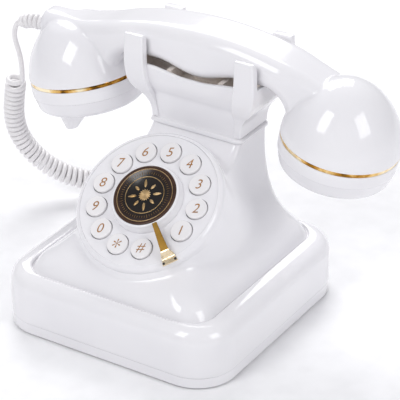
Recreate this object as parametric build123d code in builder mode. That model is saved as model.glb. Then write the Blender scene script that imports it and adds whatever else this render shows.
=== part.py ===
from build123d import *
from math import cos, pi, radians, sin, sqrt, tan
import os

os.makedirs("parts", exist_ok=True)

# Desk telephone with push keys laid out like an old dial, millimetres.
# X runs along the handset, -Y is the front, Z is up. The origin is under the middle of the base.

# ---- base ----
base_width = 145.0
base_depth = 146.0
base_corner = 24.0
wall = 2.5
foot_height = 1.2           # how far the rubber feet stand below the bottom plate
foot_radius = 8.0
foot_recess = 1.0
seam_height = 7.1           # the bottom plate meets the body here
skirt_top = 36.4
skirt_round = 9.5
groove_width = 1.5
groove_depth = 1.3

# ---- upper body ----
ledge_height = 35.0         # the upper body stands on the skirt here
ledge_half_width = 58.8
ledge_front = -63.5
ledge_back = 63.7
ledge_corner = 15.0
neck_height = 99.0
neck_half_width = 29.5
neck_front = 25.6
neck_back = 56.0

# ---- dial ----
dial_y = -23.3
dial_z = 78.7
dial_tilt = 36.0            # dial face from the horizontal
plate_radius = 40.7
plate_thickness = 2.2
bezel_radius = plate_radius + 2.9
bezel_drop = 5.5            # the bezel's outer edge lies this far below the plate's face
bezel_proud = 0.8
drum_depth = 18.0           # the dial's drum runs this far down into the body
key_circle = plate_radius - 10.2
key_radius = key_circle / 5 + 0.05
key_gap = 0.45
key_proud = 1.6
key_travel = 1.2
first_key_angle = -22.8
key_pitch = 28.5
key_names = ("1", "2", "3", "4", "5", "6", "7", "8", "9", "0", "star", "hash")
hub_radius = key_circle - 9.5
hub_height = 5.6
medallion_radius = hub_radius - 2.6
medallion_recess = 1.2
stop_angle = 315.0
stop_foot_radius = plate_radius + 3.1
stop_bend_radius = plate_radius - 2.3
stop_tip_radius = hub_radius - 0.7
stop_thickness = 0.9

# ---- cradle ----
handset_y = 40.8            # the handset and the neck share this middle plane
prong_inner = 29.8
prong_outer = 42.2
prong_half_depth = 23.2
prong_thickness = 4.8
prong_top = 155.6
cradle_floor = 127.0
saddle_edge = 134.3
saddle_dip = 3.2

# ---- handset ----
grip_width = 34.0
grip_round = 8.5
arch_x = 56.5               # the grip's inner sides come down into the cups here
arch_round = 14.0
arch_foot = 124.0
shoulder_x = 88.0
shoulder_height = 141.5
crown_height = 161.0        # top of the grip over the middle
under_height = 137.8        # underside of the grip beside the belly
belly_depth = 5.1
belly_half = 24.0
handset_wall = 2.8
cup_x = 85.1
cup_z = 110.8
cup_splay = 11.4            # each cup leans outward at the top by this angle
bell_radius = 34.1
bell_height = 38.5
ring_radius = 33.9
ring_height = 2.2
cap_radius = 34.1
cap_depth = 18.4
cap_wall = 2.5
spout_radius = 14.0
spout_tip_radius = 3.4
spout_offset = 12.0
spout_lean = 8.0
spout_length = 18.5
tail_x = -114.5
tail_top = 145.2

# ---- hook ----
hook_travel = 4.0
stem_radius = 2.5
pad_length = 18.0
pad_width = 9.0
pad_gap = 0.4
running_fit = 0.05
contact_gap = 0.3

# ---- handset cord ----
strand_diameter = 3.2
small_coil_diameter = 9.0
coil_diameter = 13.0


def finish(builder, name):
    """Label a finished piece and write it."""
    builder.part.label = name
    export_step(builder.part, f"parts/{name}.step")


# ================= base =================

screw_spots = [(sx * 48.0, sy * 50.0) for sx in (-1, 1) for sy in (-1, 1)]
foot_spots = [(sx * 50.0, sy * 36.0) for sx in (-1, 1) for sy in (-1, 1)]
floor_top = foot_height + wall
post_radius = 4.0
screw_radius = 1.5
screw_head_radius = 3.0
board_posts = [(sx * 30.0, sy * 20.0 - 10.0) for sx in (-1, 1) for sy in (-1, 1)]
board_bottom = floor_top + 5.0
board_thickness = 1.6
screw_length = 10.0
jack_width = 13.0
jack_height = 17.0
jack_length = 15.0
cord_jack_x = -12.0
line_jack_x = 24.0
plug_width = 7.6
plug_gap = 0.25
line_opening = 9.8

with BuildPart() as bottom_plate:
    with BuildSketch(Plane.XY.offset(foot_height)):
        RectangleRounded(base_width - 0.8, base_depth - 0.8, base_corner - 0.4)
    extrude(amount=seam_height - foot_height)
    with BuildSketch(Plane.XY.offset(floor_top)):
        RectangleRounded(base_width - 2 * wall, base_depth - 2 * wall, base_corner - wall)
    extrude(amount=seam_height - floor_top, mode=Mode.SUBTRACT)
    with BuildSketch(Plane.XY.offset(foot_height)):
        with Locations(foot_spots):
            Circle(foot_radius)
    extrude(amount=foot_recess, mode=Mode.SUBTRACT)
    with BuildSketch(Plane.XY.offset(floor_top)):
        with Locations(board_posts):
            Circle(3.0)
    extrude(amount=board_bottom - floor_top)
    with BuildSketch(Plane.XY.offset(foot_height)):
        with Locations(screw_spots):
            Circle(screw_radius + 0.2)
    extrude(amount=wall, mode=Mode.SUBTRACT)
    with BuildSketch(Plane.XY.offset(foot_height)):
        with Locations(screw_spots):
            Circle(screw_head_radius + 0.3)
    extrude(amount=1.2, mode=Mode.SUBTRACT)
finish(bottom_plate, "bottom_plate")

with BuildPart() as rubber_feet:
    with BuildSketch(Plane.XY):
        with Locations(foot_spots):
            Circle(foot_radius - 0.3)
    extrude(amount=foot_height + foot_recess)
    fillet(rubber_feet.edges().group_by(Axis.Z)[0], 0.6)
finish(rubber_feet, "rubber_feet")

# The dial face: x along the handset, y up the slope, z out of the face.
tilt = radians(dial_tilt)
dial_face = Plane((0, dial_y, dial_z), x_dir=(1, 0, 0), z_dir=(0, -sin(tilt), cos(tilt)))
plate_seat = -plate_thickness
drum_bottom = -bezel_drop - drum_depth


def front_outline(inset, bottom):
    """The upper body seen from the front, drawn in by inset."""
    foot_x, neck_x = ledge_half_width - inset, neck_half_width - inset
    with BuildSketch(Plane.XZ, mode=Mode.PRIVATE) as outline:
        with BuildLine():
            swoop = Spline((foot_x, ledge_height), (foot_x - 15.0, ledge_height + 14.0),
                           (neck_x + 4.5, ledge_height + 31.0), (neck_x, neck_height),
                           tangents=[(-0.75, 1), (0, 1)])
            mirror(swoop, about=Plane.YZ)
            Line((-neck_x, neck_height), (neck_x, neck_height))
            Polyline((-foot_x, ledge_height), (-foot_x, bottom), (foot_x, bottom),
                     (foot_x, ledge_height))
        make_face()
    return outline.sketch


def side_outline(inset, bottom):
    """The upper body seen from the side, drawn in by inset."""
    front, back = ledge_front + inset, ledge_back - inset
    with BuildSketch(Plane.YZ, mode=Mode.PRIVATE) as outline:
        with BuildLine():
            Polyline((front, bottom), (front, ledge_height), (front + 6.0, ledge_height + 11.0),
                     (neck_front + inset, neck_height - 2.0), (neck_front + inset, neck_height),
                     (neck_back - inset, neck_height))
            Spline((neck_back - inset, neck_height), (neck_back + 1.2 - inset, ledge_height + 30.0),
                   (back, ledge_height), tangents=[(0, -1), (0.4, -1)])
            Polyline((back, ledge_height), (back, bottom), (front, bottom))
        make_face()
    return outline.sketch


def upper_body(inset, bottom):
    """What both outlines cover: a flared four-sided tower."""
    with BuildPart(mode=Mode.PRIVATE) as tower:
        extrude(front_outline(inset, bottom), amount=base_depth, both=True)
        extrude(side_outline(inset, bottom), amount=base_width, both=True, mode=Mode.INTERSECT)
    return tower.part


outer_tower = upper_body(0, ledge_height - 1)
inner_tower = upper_body(wall, ledge_height - 4)

# Screw posts run from the bottom plate up into the tower's wall.
with BuildPart() as case_posts:
    with BuildSketch(Plane.XY.offset(floor_top)):
        with Locations(screw_spots):
            Circle(post_radius)
    extrude(amount=50)
    add(upper_body(wall / 2, floor_top), mode=Mode.INTERSECT)

with BuildPart() as body_shell:
    with BuildSketch(Plane.XY.offset(seam_height)):
        RectangleRounded(base_width, base_depth, base_corner)
    extrude(amount=skirt_top - seam_height)
    fillet(body_shell.edges().group_by(Axis.Z)[-1], skirt_round)
    with BuildSketch(Plane.XY.offset(skirt_top)):
        RectangleRounded(2 * (ledge_half_width + groove_width),
                         ledge_back - ledge_front + 2 * groove_width, ledge_corner + groove_width)
    extrude(amount=-groove_depth, mode=Mode.SUBTRACT)
    add(outer_tower)
    with BuildSketch(dial_face.offset(drum_bottom)):
        Circle(bezel_radius)
    extrude(amount=-drum_bottom + bezel_proud)
    with BuildSketch(Plane.XY.offset(seam_height)):
        RectangleRounded(base_width - 2 * wall, base_depth - 2 * wall, base_corner - wall)
    extrude(amount=skirt_top - groove_depth - wall - seam_height, mode=Mode.SUBTRACT)
    add(inner_tower, mode=Mode.SUBTRACT)
    with BuildSketch(dial_face.offset(drum_bottom + wall)):
        Circle(plate_radius - 2.7)
    extrude(amount=50, mode=Mode.SUBTRACT)
    with BuildSketch(dial_face.offset(plate_seat)):
        Circle(plate_radius + 0.1)
    extrude(amount=20, mode=Mode.SUBTRACT)
    add(case_posts.part)
    with BuildSketch(Plane.XY.offset(floor_top)):
        with Locations(screw_spots):
            Circle(screw_radius)
    extrude(amount=screw_length, mode=Mode.SUBTRACT)
    with BuildSketch(Plane((0, base_depth / 2, jack_height), x_dir=(1, 0, 0), z_dir=(0, 1, 0))):
        with Locations((cord_jack_x, 0), (line_jack_x, 0)):
            Rectangle(jack_width + 0.2, jack_width + 0.2)
    extrude(amount=-2 * wall, mode=Mode.SUBTRACT)
finish(body_shell, "body_shell")

with BuildPart() as case_screws:
    with BuildSketch(Plane.XY.offset(foot_height + 0.1)):
        with Locations(screw_spots):
            Circle(screw_head_radius)
    extrude(amount=1.1)
    with BuildSketch(Plane.XY.offset(foot_height + 1.2)):
        with Locations(screw_spots):
            Circle(screw_radius - 0.1)
    extrude(amount=screw_length)
finish(case_screws, "case_screws")

board_top = board_bottom + board_thickness
with BuildPart() as main_board:
    with BuildSketch(Plane.XY.offset(board_bottom)):
        with Locations((0, -10)):
            RectangleRounded(72, 52, 2)
    extrude(amount=board_thickness)
finish(main_board, "main_board")

with BuildPart() as board_parts:
    with BuildSketch(Plane.XY.offset(board_top)):
        with Locations((0, -12)):
            Rectangle(14, 8)
        with Locations((-22, -18), (22, -2)):
            Rectangle(9, 7)
    extrude(amount=2.2)
    with BuildSketch(Plane.XY.offset(board_top)):
        with Locations((-20, 2), (-10, 4), (20, -20)):
            Circle(3.2)
    extrude(amount=9.0)
finish(board_parts, "board_parts")

with BuildPart() as ballast_plate:
    with BuildSketch(Plane.XY.offset(floor_top)):
        with Locations((0, -55)):
            RectangleRounded(70, 18, 2)
    extrude(amount=7.0)
finish(ballast_plate, "ballast_plate")

with BuildPart() as ringer:
    with BuildSketch(Plane.XY.offset(floor_top)):
        with Locations((0, 38)):
            Circle(15.0)
    extrude(amount=5.5)
    with BuildSketch(Plane.XY.offset(floor_top + 5.5)):
        with Locations((0, 38)):
            Circle(9.0)
    extrude(amount=1.5)
finish(ringer, "ringer")


def jack(name, centre_x, opening_width, opening_height):
    """A socket standing on the floor inside the rear wall, open to the back."""
    rear = base_depth / 2 - 0.6
    inside = base_depth / 2 - wall - 0.1
    with BuildPart() as socket:
        with BuildSketch(Plane.XY.offset(floor_top)):
            with Locations((centre_x, inside - jack_length / 2)):
                Rectangle(jack_width, jack_length)
        extrude(amount=jack_height + jack_width / 2 - floor_top)
        with BuildSketch(Plane((centre_x, inside, jack_height), x_dir=(1, 0, 0), z_dir=(0, 1, 0))):
            Rectangle(jack_width, jack_width)
        extrude(amount=rear - inside)
        with BuildSketch(Plane((centre_x, rear, jack_height), x_dir=(1, 0, 0), z_dir=(0, 1, 0))):
            Rectangle(opening_width, opening_height)
        extrude(amount=-(jack_length - 2.5), mode=Mode.SUBTRACT)
    finish(socket, name)


jack("cord_jack", cord_jack_x, plug_width + 2 * plug_gap, plug_width + 2 * plug_gap)
jack("line_jack", line_jack_x, line_opening, line_opening - 2.0)

# ================= dial =================

key_angles = [first_key_angle + key_pitch * i for i in range(len(key_names))]
key_centres = [(key_circle * cos(radians(a)), key_circle * sin(radians(a))) for a in key_angles]
post_spots = [(17.0 * cos(radians(a)), 17.0 * sin(radians(a))) for a in (30, 150, 270)]
membrane_lift = plate_seat - 6.0
membrane_thickness = 1.0
keypad_board_lift = membrane_lift - board_thickness

with BuildPart() as dial_plate:
    with BuildSketch(dial_face.offset(plate_seat)):
        Circle(plate_radius)
        with Locations(key_centres):
            Circle(key_radius + key_gap, mode=Mode.SUBTRACT)
    extrude(amount=plate_thickness)
    with BuildSketch(dial_face.offset(membrane_lift)):
        with Locations(post_spots):
            Circle(2.6)
    extrude(amount=plate_seat - membrane_lift)
    with BuildSketch(dial_face.offset(membrane_lift)):
        with Locations(post_spots):
            Circle(0.9)
    extrude(amount=4.5, mode=Mode.SUBTRACT)
finish(dial_plate, "dial_plate")

with BuildPart() as hub_ring:
    with BuildSketch(dial_face):
        Circle(hub_radius)
    extrude(amount=hub_height, taper=6)
    with BuildSketch(dial_face.offset(hub_height - medallion_recess)):
        Circle(medallion_radius + 0.1)
    extrude(amount=medallion_recess + 1, mode=Mode.SUBTRACT)
finish(hub_ring, "hub_ring")

with BuildPart() as medallion:
    with BuildSketch(dial_face.offset(hub_height - medallion_recess)):
        Circle(medallion_radius)
    extrude(amount=medallion_recess - 0.2)
finish(medallion, "medallion")

flange_lift = plate_seat - 0.3
stem_tip = membrane_lift + membrane_thickness + 0.5 + contact_gap + key_travel

for key_name, (key_x, key_y) in zip(key_names, key_centres):
    with BuildPart() as key:
        with BuildSketch(dial_face.offset(flange_lift)):
            with Locations((key_x, key_y)):
                Circle(key_radius)
        extrude(amount=key_proud - flange_lift)
        with BuildSketch(dial_face.offset(flange_lift - 0.9)):
            with Locations((key_x, key_y)):
                Circle(key_radius + 1.1)
        extrude(amount=0.9)
        with BuildSketch(dial_face.offset(stem_tip)):
            with Locations((key_x, key_y)):
                Circle(2.0)
        extrude(amount=flange_lift - 0.9 - stem_tip)
    finish(key, f"key_{key_name}")

with BuildPart() as key_membrane:
    with BuildSketch(dial_face.offset(membrane_lift)):
        Circle(plate_radius - 3.4)
        with Locations(post_spots):
            Circle(2.9, mode=Mode.SUBTRACT)
    extrude(amount=membrane_thickness)
    with BuildSketch(dial_face.offset(membrane_lift + membrane_thickness)):
        with Locations(key_centres):
            Circle(3.0)
    extrude(amount=0.5)
finish(key_membrane, "key_membrane")

with BuildPart() as keypad_board:
    with BuildSketch(dial_face.offset(keypad_board_lift)):
        Circle(plate_radius - 3.4)
        with Locations(post_spots):
            Circle(1.1, mode=Mode.SUBTRACT)
    extrude(amount=board_thickness)
finish(keypad_board, "keypad_board")

with BuildPart() as keypad_screws:
    with BuildSketch(dial_face.offset(keypad_board_lift - 1.2)):
        with Locations(post_spots):
            Circle(2.0)
    extrude(amount=1.2)
    with BuildSketch(dial_face.offset(keypad_board_lift)):
        with Locations(post_spots):
            Circle(0.85)
    extrude(amount=board_thickness + 3.5)
finish(keypad_screws, "keypad_screws")

# The finger stop is a bent strip: its side view times its plan.
stop_turn = radians(stop_angle)
stop_direction = dial_face.x_dir * cos(stop_turn) + dial_face.y_dir * sin(stop_turn)
stop_side = Plane(dial_face.origin, x_dir=stop_direction, z_dir=stop_direction.cross(dial_face.z_dir))
stop_plan = Plane(dial_face.origin, x_dir=stop_direction, z_dir=dial_face.z_dir)
stop_foot_lift = bezel_proud + 0.05
with BuildPart() as finger_stop:
    with BuildSketch(stop_side):
        with BuildLine():
            Polyline((stop_foot_radius, stop_foot_lift), (stop_bend_radius + 1.6, stop_foot_lift),
                     (stop_bend_radius, 4.4), (stop_tip_radius, hub_height + 0.9),
                     (stop_tip_radius, hub_height + 0.9 + stop_thickness),
                     (stop_bend_radius + 0.4, 4.4 + stop_thickness + 0.1),
                     (stop_bend_radius + 2.2, stop_foot_lift + stop_thickness),
                     (stop_foot_radius, stop_foot_lift + stop_thickness), close=True)
        make_face()
    extrude(amount=6, both=True)
    with BuildSketch(stop_plan):
        with BuildLine():
            Polyline((stop_foot_radius + 1, -4.4), (stop_foot_radius + 1, 4.4),
                     (stop_bend_radius + 1.5, 4.0), (stop_bend_radius - 0.5, 2.5),
                     (stop_tip_radius - 1, 1.4), (stop_tip_radius - 1, -1.4),
                     (stop_bend_radius - 0.5, -2.5), (stop_bend_radius + 1.5, -4.0), close=True)
        make_face()
    extrude(amount=15, both=True, mode=Mode.INTERSECT)
finish(finger_stop, "finger_stop")

stop_screw_spots = [(stop_foot_radius - 1.6, -2.6), (stop_foot_radius - 1.6, 2.6)]
with BuildPart() as stop_screws:
    with BuildSketch(stop_plan.offset(stop_foot_lift + stop_thickness)):
        with Locations(stop_screw_spots):
            Circle(1.3)
    extrude(amount=0.5)
finish(stop_screws, "stop_screws")

# ================= cradle =================

bead_height = 3.2
bead_proud = 1.2
flare_start = 106.0
flare_end = 130.0
neck_depth = neck_back - neck_front
channel_half = prong_half_depth - prong_thickness


def flare_outline(plane, neck_half, head_half, inset):
    """Neck, flare and prongs seen along one axis, drawn in by inset."""
    neck_x, head_x, spread = neck_half - inset, head_half - inset, head_half - neck_half
    with BuildSketch(plane, mode=Mode.PRIVATE) as outline:
        with BuildLine():
            swell = Spline((neck_x, flare_start), (neck_x + 0.34 * spread, flare_start + 10.0),
                           (neck_x + 0.74 * spread, flare_start + 15.0), (head_x, flare_end),
                           tangents=[(0, 1), (0, 1)])
            mirror(swell, about=Plane.YZ)
            Polyline((head_x, flare_end), (head_x, prong_top), (-head_x, prong_top),
                     (-head_x, flare_end))
            Polyline((neck_x, flare_start), (neck_x, neck_height), (-neck_x, neck_height),
                     (-neck_x, flare_start))
        make_face()
    return outline.sketch


def flare(inset):
    """What the front and side outlines of the head both cover."""
    across = Plane((0, handset_y, 0), x_dir=(1, 0, 0), z_dir=(0, -1, 0))
    along = Plane((0, handset_y, 0), x_dir=(0, 1, 0), z_dir=(1, 0, 0))
    with BuildPart(mode=Mode.PRIVATE) as head:
        extrude(flare_outline(across, neck_half_width, prong_outer, inset), amount=60, both=True)
        extrude(flare_outline(along, neck_depth / 2, prong_half_depth, inset), amount=60, both=True,
                mode=Mode.INTERSECT)
    return head.part


hollow_top = cradle_floor - wall
with BuildPart() as hollow:
    with BuildSketch(Plane.XY.offset(neck_height)):
        with Locations((0, handset_y)):
            Rectangle(2 * prong_outer, 2 * channel_half - 2 * wall)
    extrude(amount=hollow_top - neck_height)
    add(flare(wall), mode=Mode.INTERSECT)

with BuildPart() as cradle:
    add(flare(0))
    with BuildSketch(Plane.XY.offset(neck_height)):
        with Locations((0, handset_y)):
            RectangleRounded(2 * neck_half_width + 2 * bead_proud, neck_depth + 2 * bead_proud, 4.0)
    extrude(amount=bead_height)
    fillet(cradle.edges().filter_by(Plane.XY).group_by(Axis.Z)[0], 1.1)
    # the channel that the handset lies in, between the front and rear prongs
    with BuildSketch(Plane.XY.offset(saddle_edge)):
        with Locations((0, handset_y)):
            Rectangle(2 * prong_outer + 2, 2 * channel_half)
    extrude(amount=prong_top, mode=Mode.SUBTRACT)
    # the trough below it
    with BuildSketch(Plane.XY.offset(cradle_floor)):
        with Locations((0, handset_y)):
            RectangleRounded(2 * prong_outer - 2 * wall, 2 * channel_half - 2 * wall, 3.0)
    extrude(amount=prong_top, mode=Mode.SUBTRACT)
    # between the prongs the walls stop at a dipped edge
    with BuildSketch(Plane.XZ):
        with BuildLine():
            Spline((-prong_inner, saddle_edge), (-prong_inner / 2, saddle_edge - 0.6),
                   (0, saddle_edge - saddle_dip), (prong_inner / 2, saddle_edge - 0.6),
                   (prong_inner, saddle_edge))
            Polyline((prong_inner, saddle_edge), (prong_inner, prong_top + 5),
                     (-prong_inner, prong_top + 5), (-prong_inner, saddle_edge))
        make_face()
    extrude(amount=-2 * handset_y - 40, mode=Mode.SUBTRACT)
    # and stand back from the prongs' faces
    for side in (-1, 1):
        with BuildSketch(Plane.XY.offset(flare_start)):
            with Locations((0, handset_y + side * (prong_half_depth))):
                Rectangle(2 * prong_inner, 2 * prong_thickness)
        extrude(amount=prong_top, mode=Mode.SUBTRACT)
    add(hollow.part, mode=Mode.SUBTRACT)
    with BuildSketch(Plane.XY.offset(hollow_top)):
        with Locations((0, handset_y)):
            RectangleRounded(pad_length + 2 * pad_gap, pad_width + 2 * pad_gap, 3 + pad_gap)
    extrude(amount=wall, mode=Mode.SUBTRACT)
finish(cradle, "cradle")

# ================= hook =================


def belly_underside(x):
    """Height of the grip's underside at x: a round belly between two flats."""
    belly_radius = (belly_half ** 2 + belly_depth ** 2) / (2 * belly_depth)
    if abs(x) >= belly_half:
        return under_height
    return under_height + belly_radius - belly_depth - sqrt(belly_radius ** 2 - x ** 2)


bracket_bottom = 101.0
bracket_top = bracket_bottom + 2.0
plunger_top = belly_underside(0) - contact_gap
flange_top = hollow_top - hook_travel - contact_gap
flange_bottom = flange_top - 1.6
stem_bottom = bracket_bottom - 4.0
spring_radius = 4.4
spring_wire = 0.8
rib_x = 17.0
post_x = 21.0               # the bracket's posts and screws stand this far out
lever_pin_x = 14.0
lever_pin_z = bracket_bottom - 4.9
lever_pin_radius = 0.8
lever_tip_x = -1.5
lever_width = 3.6
pin_length = 8.0
pin_end = Plane((lever_pin_x, handset_y - pin_length / 2, lever_pin_z), x_dir=(1, 0, 0), z_dir=(0, 1, 0))

# Two ribs across the trough carry the handset's belly.
with BuildPart() as rest_ribs:
    for side in (-1, 1):
        with BuildSketch(Plane.XY.offset(cradle_floor)):
            with Locations((side * rib_x, handset_y)):
                Rectangle(3.0, 2 * channel_half - 2 * wall - 0.2)
        extrude(amount=belly_underside(rib_x - 1.5) - contact_gap - cradle_floor)
finish(rest_ribs, "rest_ribs")

with BuildPart() as hook_plunger:
    with BuildSketch(Plane.XY.offset(flange_bottom)):
        with Locations((0, handset_y)):
            RectangleRounded(pad_length + 5, pad_width + 5, 3)
    extrude(amount=flange_top - flange_bottom)
    with BuildSketch(Plane.XY.offset(flange_top)):
        with Locations((0, handset_y)):
            RectangleRounded(pad_length, pad_width, 3)
    extrude(amount=plunger_top - flange_top)
    fillet(hook_plunger.faces().sort_by(Axis.Z)[-1].edges(), 1.0)
    with BuildSketch(Plane.XY.offset(stem_bottom)):
        with Locations((0, handset_y)):
            Circle(stem_radius)
    extrude(amount=flange_bottom - stem_bottom)
finish(hook_plunger, "hook_plunger")

with BuildPart() as hook_bracket:
    with BuildSketch(Plane.XY.offset(bracket_bottom)):
        with Locations((0, handset_y)):
            Rectangle(2 * neck_half_width - 2 * wall - 0.2, neck_depth - 2 * wall - 0.2)
            Circle(stem_radius + running_fit, mode=Mode.SUBTRACT)
        with Locations((-post_x, handset_y), (post_x, handset_y)):
            Circle(1.2, mode=Mode.SUBTRACT)
    extrude(amount=bracket_top - bracket_bottom)
    with BuildSketch(Plane.XY.offset(bracket_bottom - 7.0)):
        with Locations((lever_pin_x, handset_y)):
            Rectangle(4.0, pin_length)
            Rectangle(5.0, lever_width + 0.6, mode=Mode.SUBTRACT)
    extrude(amount=7.0)
    with BuildSketch(pin_end):
        Circle(lever_pin_radius)
    extrude(amount=pin_length, mode=Mode.SUBTRACT)
finish(hook_bracket, "hook_bracket")

with BuildPart() as bracket_posts:
    with BuildSketch(Plane.XY.offset(bracket_top)):
        with Locations((-post_x, handset_y), (post_x, handset_y)):
            Circle(3.0)
            Circle(0.9, mode=Mode.SUBTRACT)
    extrude(amount=hollow_top - bracket_top)
finish(bracket_posts, "bracket_posts")

with BuildPart() as bracket_screws:
    with BuildSketch(Plane.XY.offset(bracket_bottom - 1.4)):
        with Locations((-post_x, handset_y), (post_x, handset_y)):
            Circle(2.2)
    extrude(amount=1.4)
    with BuildSketch(Plane.XY.offset(bracket_bottom)):
        with Locations((-post_x, handset_y), (post_x, handset_y)):
            Circle(0.85)
    extrude(amount=8.0)
finish(bracket_screws, "bracket_screws")

with BuildPart() as hook_spring:
    spring_start = bracket_top + spring_wire / 2 + 0.1
    spring_length = flange_bottom - spring_wire / 2 - 0.1 - spring_start
    with BuildLine(Plane((0, handset_y, spring_start))):
        coil = Helix(pitch=spring_length / 5.0, height=spring_length, radius=spring_radius)
    with BuildSketch(Plane(coil @ 0, z_dir=coil % 0)):
        Circle(spring_wire / 2)
    sweep(path=coil, is_frenet=True)
finish(hook_spring, "hook_spring")

# The switch hangs under the bracket; its lever turns on a pin in the bracket's fork.
with BuildPart() as lever_pin:
    with BuildSketch(pin_end):
        Circle(lever_pin_radius)
    extrude(amount=pin_length)
finish(lever_pin, "lever_pin")

lever_top = stem_bottom - contact_gap
with BuildPart() as switch_lever:
    with BuildSketch(Plane((0, handset_y - lever_width / 2, 0), x_dir=(1, 0, 0), z_dir=(0, -1, 0))):
        with BuildLine():
            Polyline((lever_pin_x + 1.8, lever_pin_z + 1.0), (lever_tip_x, lever_top),
                     (lever_tip_x, lever_top - 1.2), (lever_pin_x + 1.8, lever_pin_z - 1.8), close=True)
        make_face()
        with Locations((lever_pin_x, lever_pin_z)):
            Circle(lever_pin_radius + running_fit, mode=Mode.SUBTRACT)
    extrude(amount=-lever_width)
finish(switch_lever, "switch_lever")

switch_face = Plane((0, neck_front + wall + 0.1, 0), x_dir=(1, 0, 0), z_dir=(0, -1, 0))
with BuildPart() as hook_switch:
    with BuildSketch(switch_face):
        with Locations((-2.0, bracket_bottom - 5.0)):
            Rectangle(14.0, 10.0)
    extrude(amount=-6.0)
finish(hook_switch, "hook_switch")

# ================= handset =================

middle = Plane((0, handset_y, 0), x_dir=(1, 0, 0), z_dir=(0, -1, 0))
splay = radians(cup_splay)


def cup_plane(side):
    """Origin on the gold ring's middle, z up the cup's leaning axis."""
    return Plane((side * cup_x, handset_y, cup_z), x_dir=(cos(splay), 0, -side * sin(splay)),
                 z_dir=(side * sin(splay), 0, cos(splay)))


def grip_outline(inset):
    """The grip from the front, drawn in by inset, running down into both cups."""
    inner_x = arch_x + inset
    with BuildSketch(middle, mode=Mode.PRIVATE) as outline:
        with BuildLine():
            under = under_height + inset
            Spline((tail_x + 26.0, tail_top + 0.4 - inset), (-50.0, 155.0 - inset),
                   (0, crown_height - inset), (50.0, 155.0 - inset), (shoulder_x, shoulder_height - inset),
                   tangents=[(1, 0.12), (1, -0.5)])
            Polyline((shoulder_x, shoulder_height - inset), (cup_x, cup_z + 3.0),
                     (inner_x, cup_z + 6.0), (inner_x, arch_foot))
            Spline((inner_x, arch_foot), (inner_x - arch_round / 3, under - arch_round / 3),
                   (inner_x - arch_round, under), tangents=[(0, 1), (-1, 0)])
            Line((inner_x - arch_round, under), (belly_half, under))
            ThreePointArc((belly_half, under), (0, under - belly_depth), (-belly_half, under))
            Line((-belly_half, under), (arch_round - inner_x, under))
            Spline((arch_round - inner_x, under), (arch_round / 3 - inner_x, under - arch_round / 3),
                   (-inner_x, arch_foot), tangents=[(-1, 0), (0, -1)])
            Polyline((-inner_x, arch_foot), (-inner_x, cup_z + 6.0), (-cup_x, cup_z + 3.0),
                     (tail_x + inset, cup_z + 6.0), (tail_x + inset, tail_top - 3.5 - inset),
                     (tail_x + 2.5 + inset, tail_top - inset), (tail_x + 26.0, tail_top + 0.4 - inset))
        make_face()
    return outline.sketch


def bell_profile_radius(share, radius):
    """Radius of the bell at a share of its height."""
    return radius * (1 - share ** 1.6) ** (1 / 1.85)


def bell(side, inset):
    """One cup above its gold ring: a bell-shaped solid of revolution."""
    plane = cup_plane(side)
    radius, height = bell_radius - inset, bell_height - inset
    rim = ring_height / 2
    with BuildPart(mode=Mode.PRIVATE) as cup:
        with BuildSketch(Plane(plane.origin, x_dir=plane.x_dir, z_dir=-plane.y_dir)):
            with BuildLine():
                curve = [(bell_profile_radius(i / 8, radius), rim + (height - rim) * i / 8)
                         for i in range(9)]
                Spline(curve, tangents=[(0, 1), (-1, 0)])
                Polyline(curve[-1], (0, rim), curve[0])
            make_face()
        revolve(axis=Axis(plane.origin, plane.z_dir))
    return cup.part


jack_box = 10.4
jack_depth = 14.0
exit_height = 133.5
cord_exit = Plane((tail_x, handset_y, exit_height), x_dir=(0, -1, 0), z_dir=(-1, 0, 0))
sides = {"mouthpiece": -1, "earpiece": 1}

with BuildPart() as handset_body:
    extrude(grip_outline(0), amount=grip_width / 2, both=True)
    rims = handset_body.faces().filter_by(Axis.Y).edges()
    crown_edges = rims.filter_by(lambda edge: (edge @ 0.5).Z > under_height + 1)
    arch_edges = rims.filter_by(lambda edge: abs((edge @ 0.5).X) < arch_x + 1
                                and cup_z + 9 < (edge @ 0.5).Z <= under_height + 1)
    fillet(crown_edges + arch_edges, grip_round)
    for side in sides.values():
        add(bell(side, 0))
    # nothing of the grip hangs below the rings
    for side in sides.values():
        with BuildSketch(cup_plane(side).offset(ring_height / 2)):
            Rectangle(90, 90)
        extrude(amount=-40, mode=Mode.SUBTRACT)
    extrude(grip_outline(handset_wall), amount=grip_width / 2 - handset_wall, both=True,
            mode=Mode.SUBTRACT)
    for side in sides.values():
        add(bell(side, handset_wall), mode=Mode.SUBTRACT)
        with BuildSketch(cup_plane(side)):
            Circle(bell_radius - handset_wall)
        extrude(amount=9, mode=Mode.SUBTRACT)
    with BuildSketch(cord_exit):
        Rectangle(plug_width + 2 * plug_gap, plug_width + 2 * plug_gap)
    extrude(amount=-2 * handset_wall, mode=Mode.SUBTRACT)
finish(handset_body, "handset_body")

# Gold rings, caps and what they hold.
collar_radius = bell_radius - handset_wall - contact_gap
ring_inner = collar_radius + 0.1
cap_step = 9.0
cap_floor = -cap_depth + cap_wall
sound_circles = [(6.0, 6), (11.5, 12), (17.0, 18)]


def cup_part(builder_plane, lift, amount, *circles):
    """A round slab on the cup's axis: the first circle less the others."""
    with BuildPart(mode=Mode.PRIVATE) as slab:
        with BuildSketch(builder_plane.offset(lift)):
            Circle(circles[0])
            for radius in circles[1:]:
                Circle(radius, mode=Mode.SUBTRACT)
        extrude(amount=amount)
    return slab.part


def spout_cone(plane, start_lift, start_radius, tip_radius):
    """The mouthpiece's slanted spout, from the cap to its tip."""
    with BuildPart(mode=Mode.PRIVATE) as cone:
        with BuildSketch(plane.offset(start_lift)):
            with Locations((-spout_offset, 0)):
                Circle(start_radius)
        with BuildSketch(plane.offset(-cap_depth - spout_length)):
            with Locations((-spout_offset - spout_lean, 0)):
                Circle(tip_radius)
        loft()
    return cone.part


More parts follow.
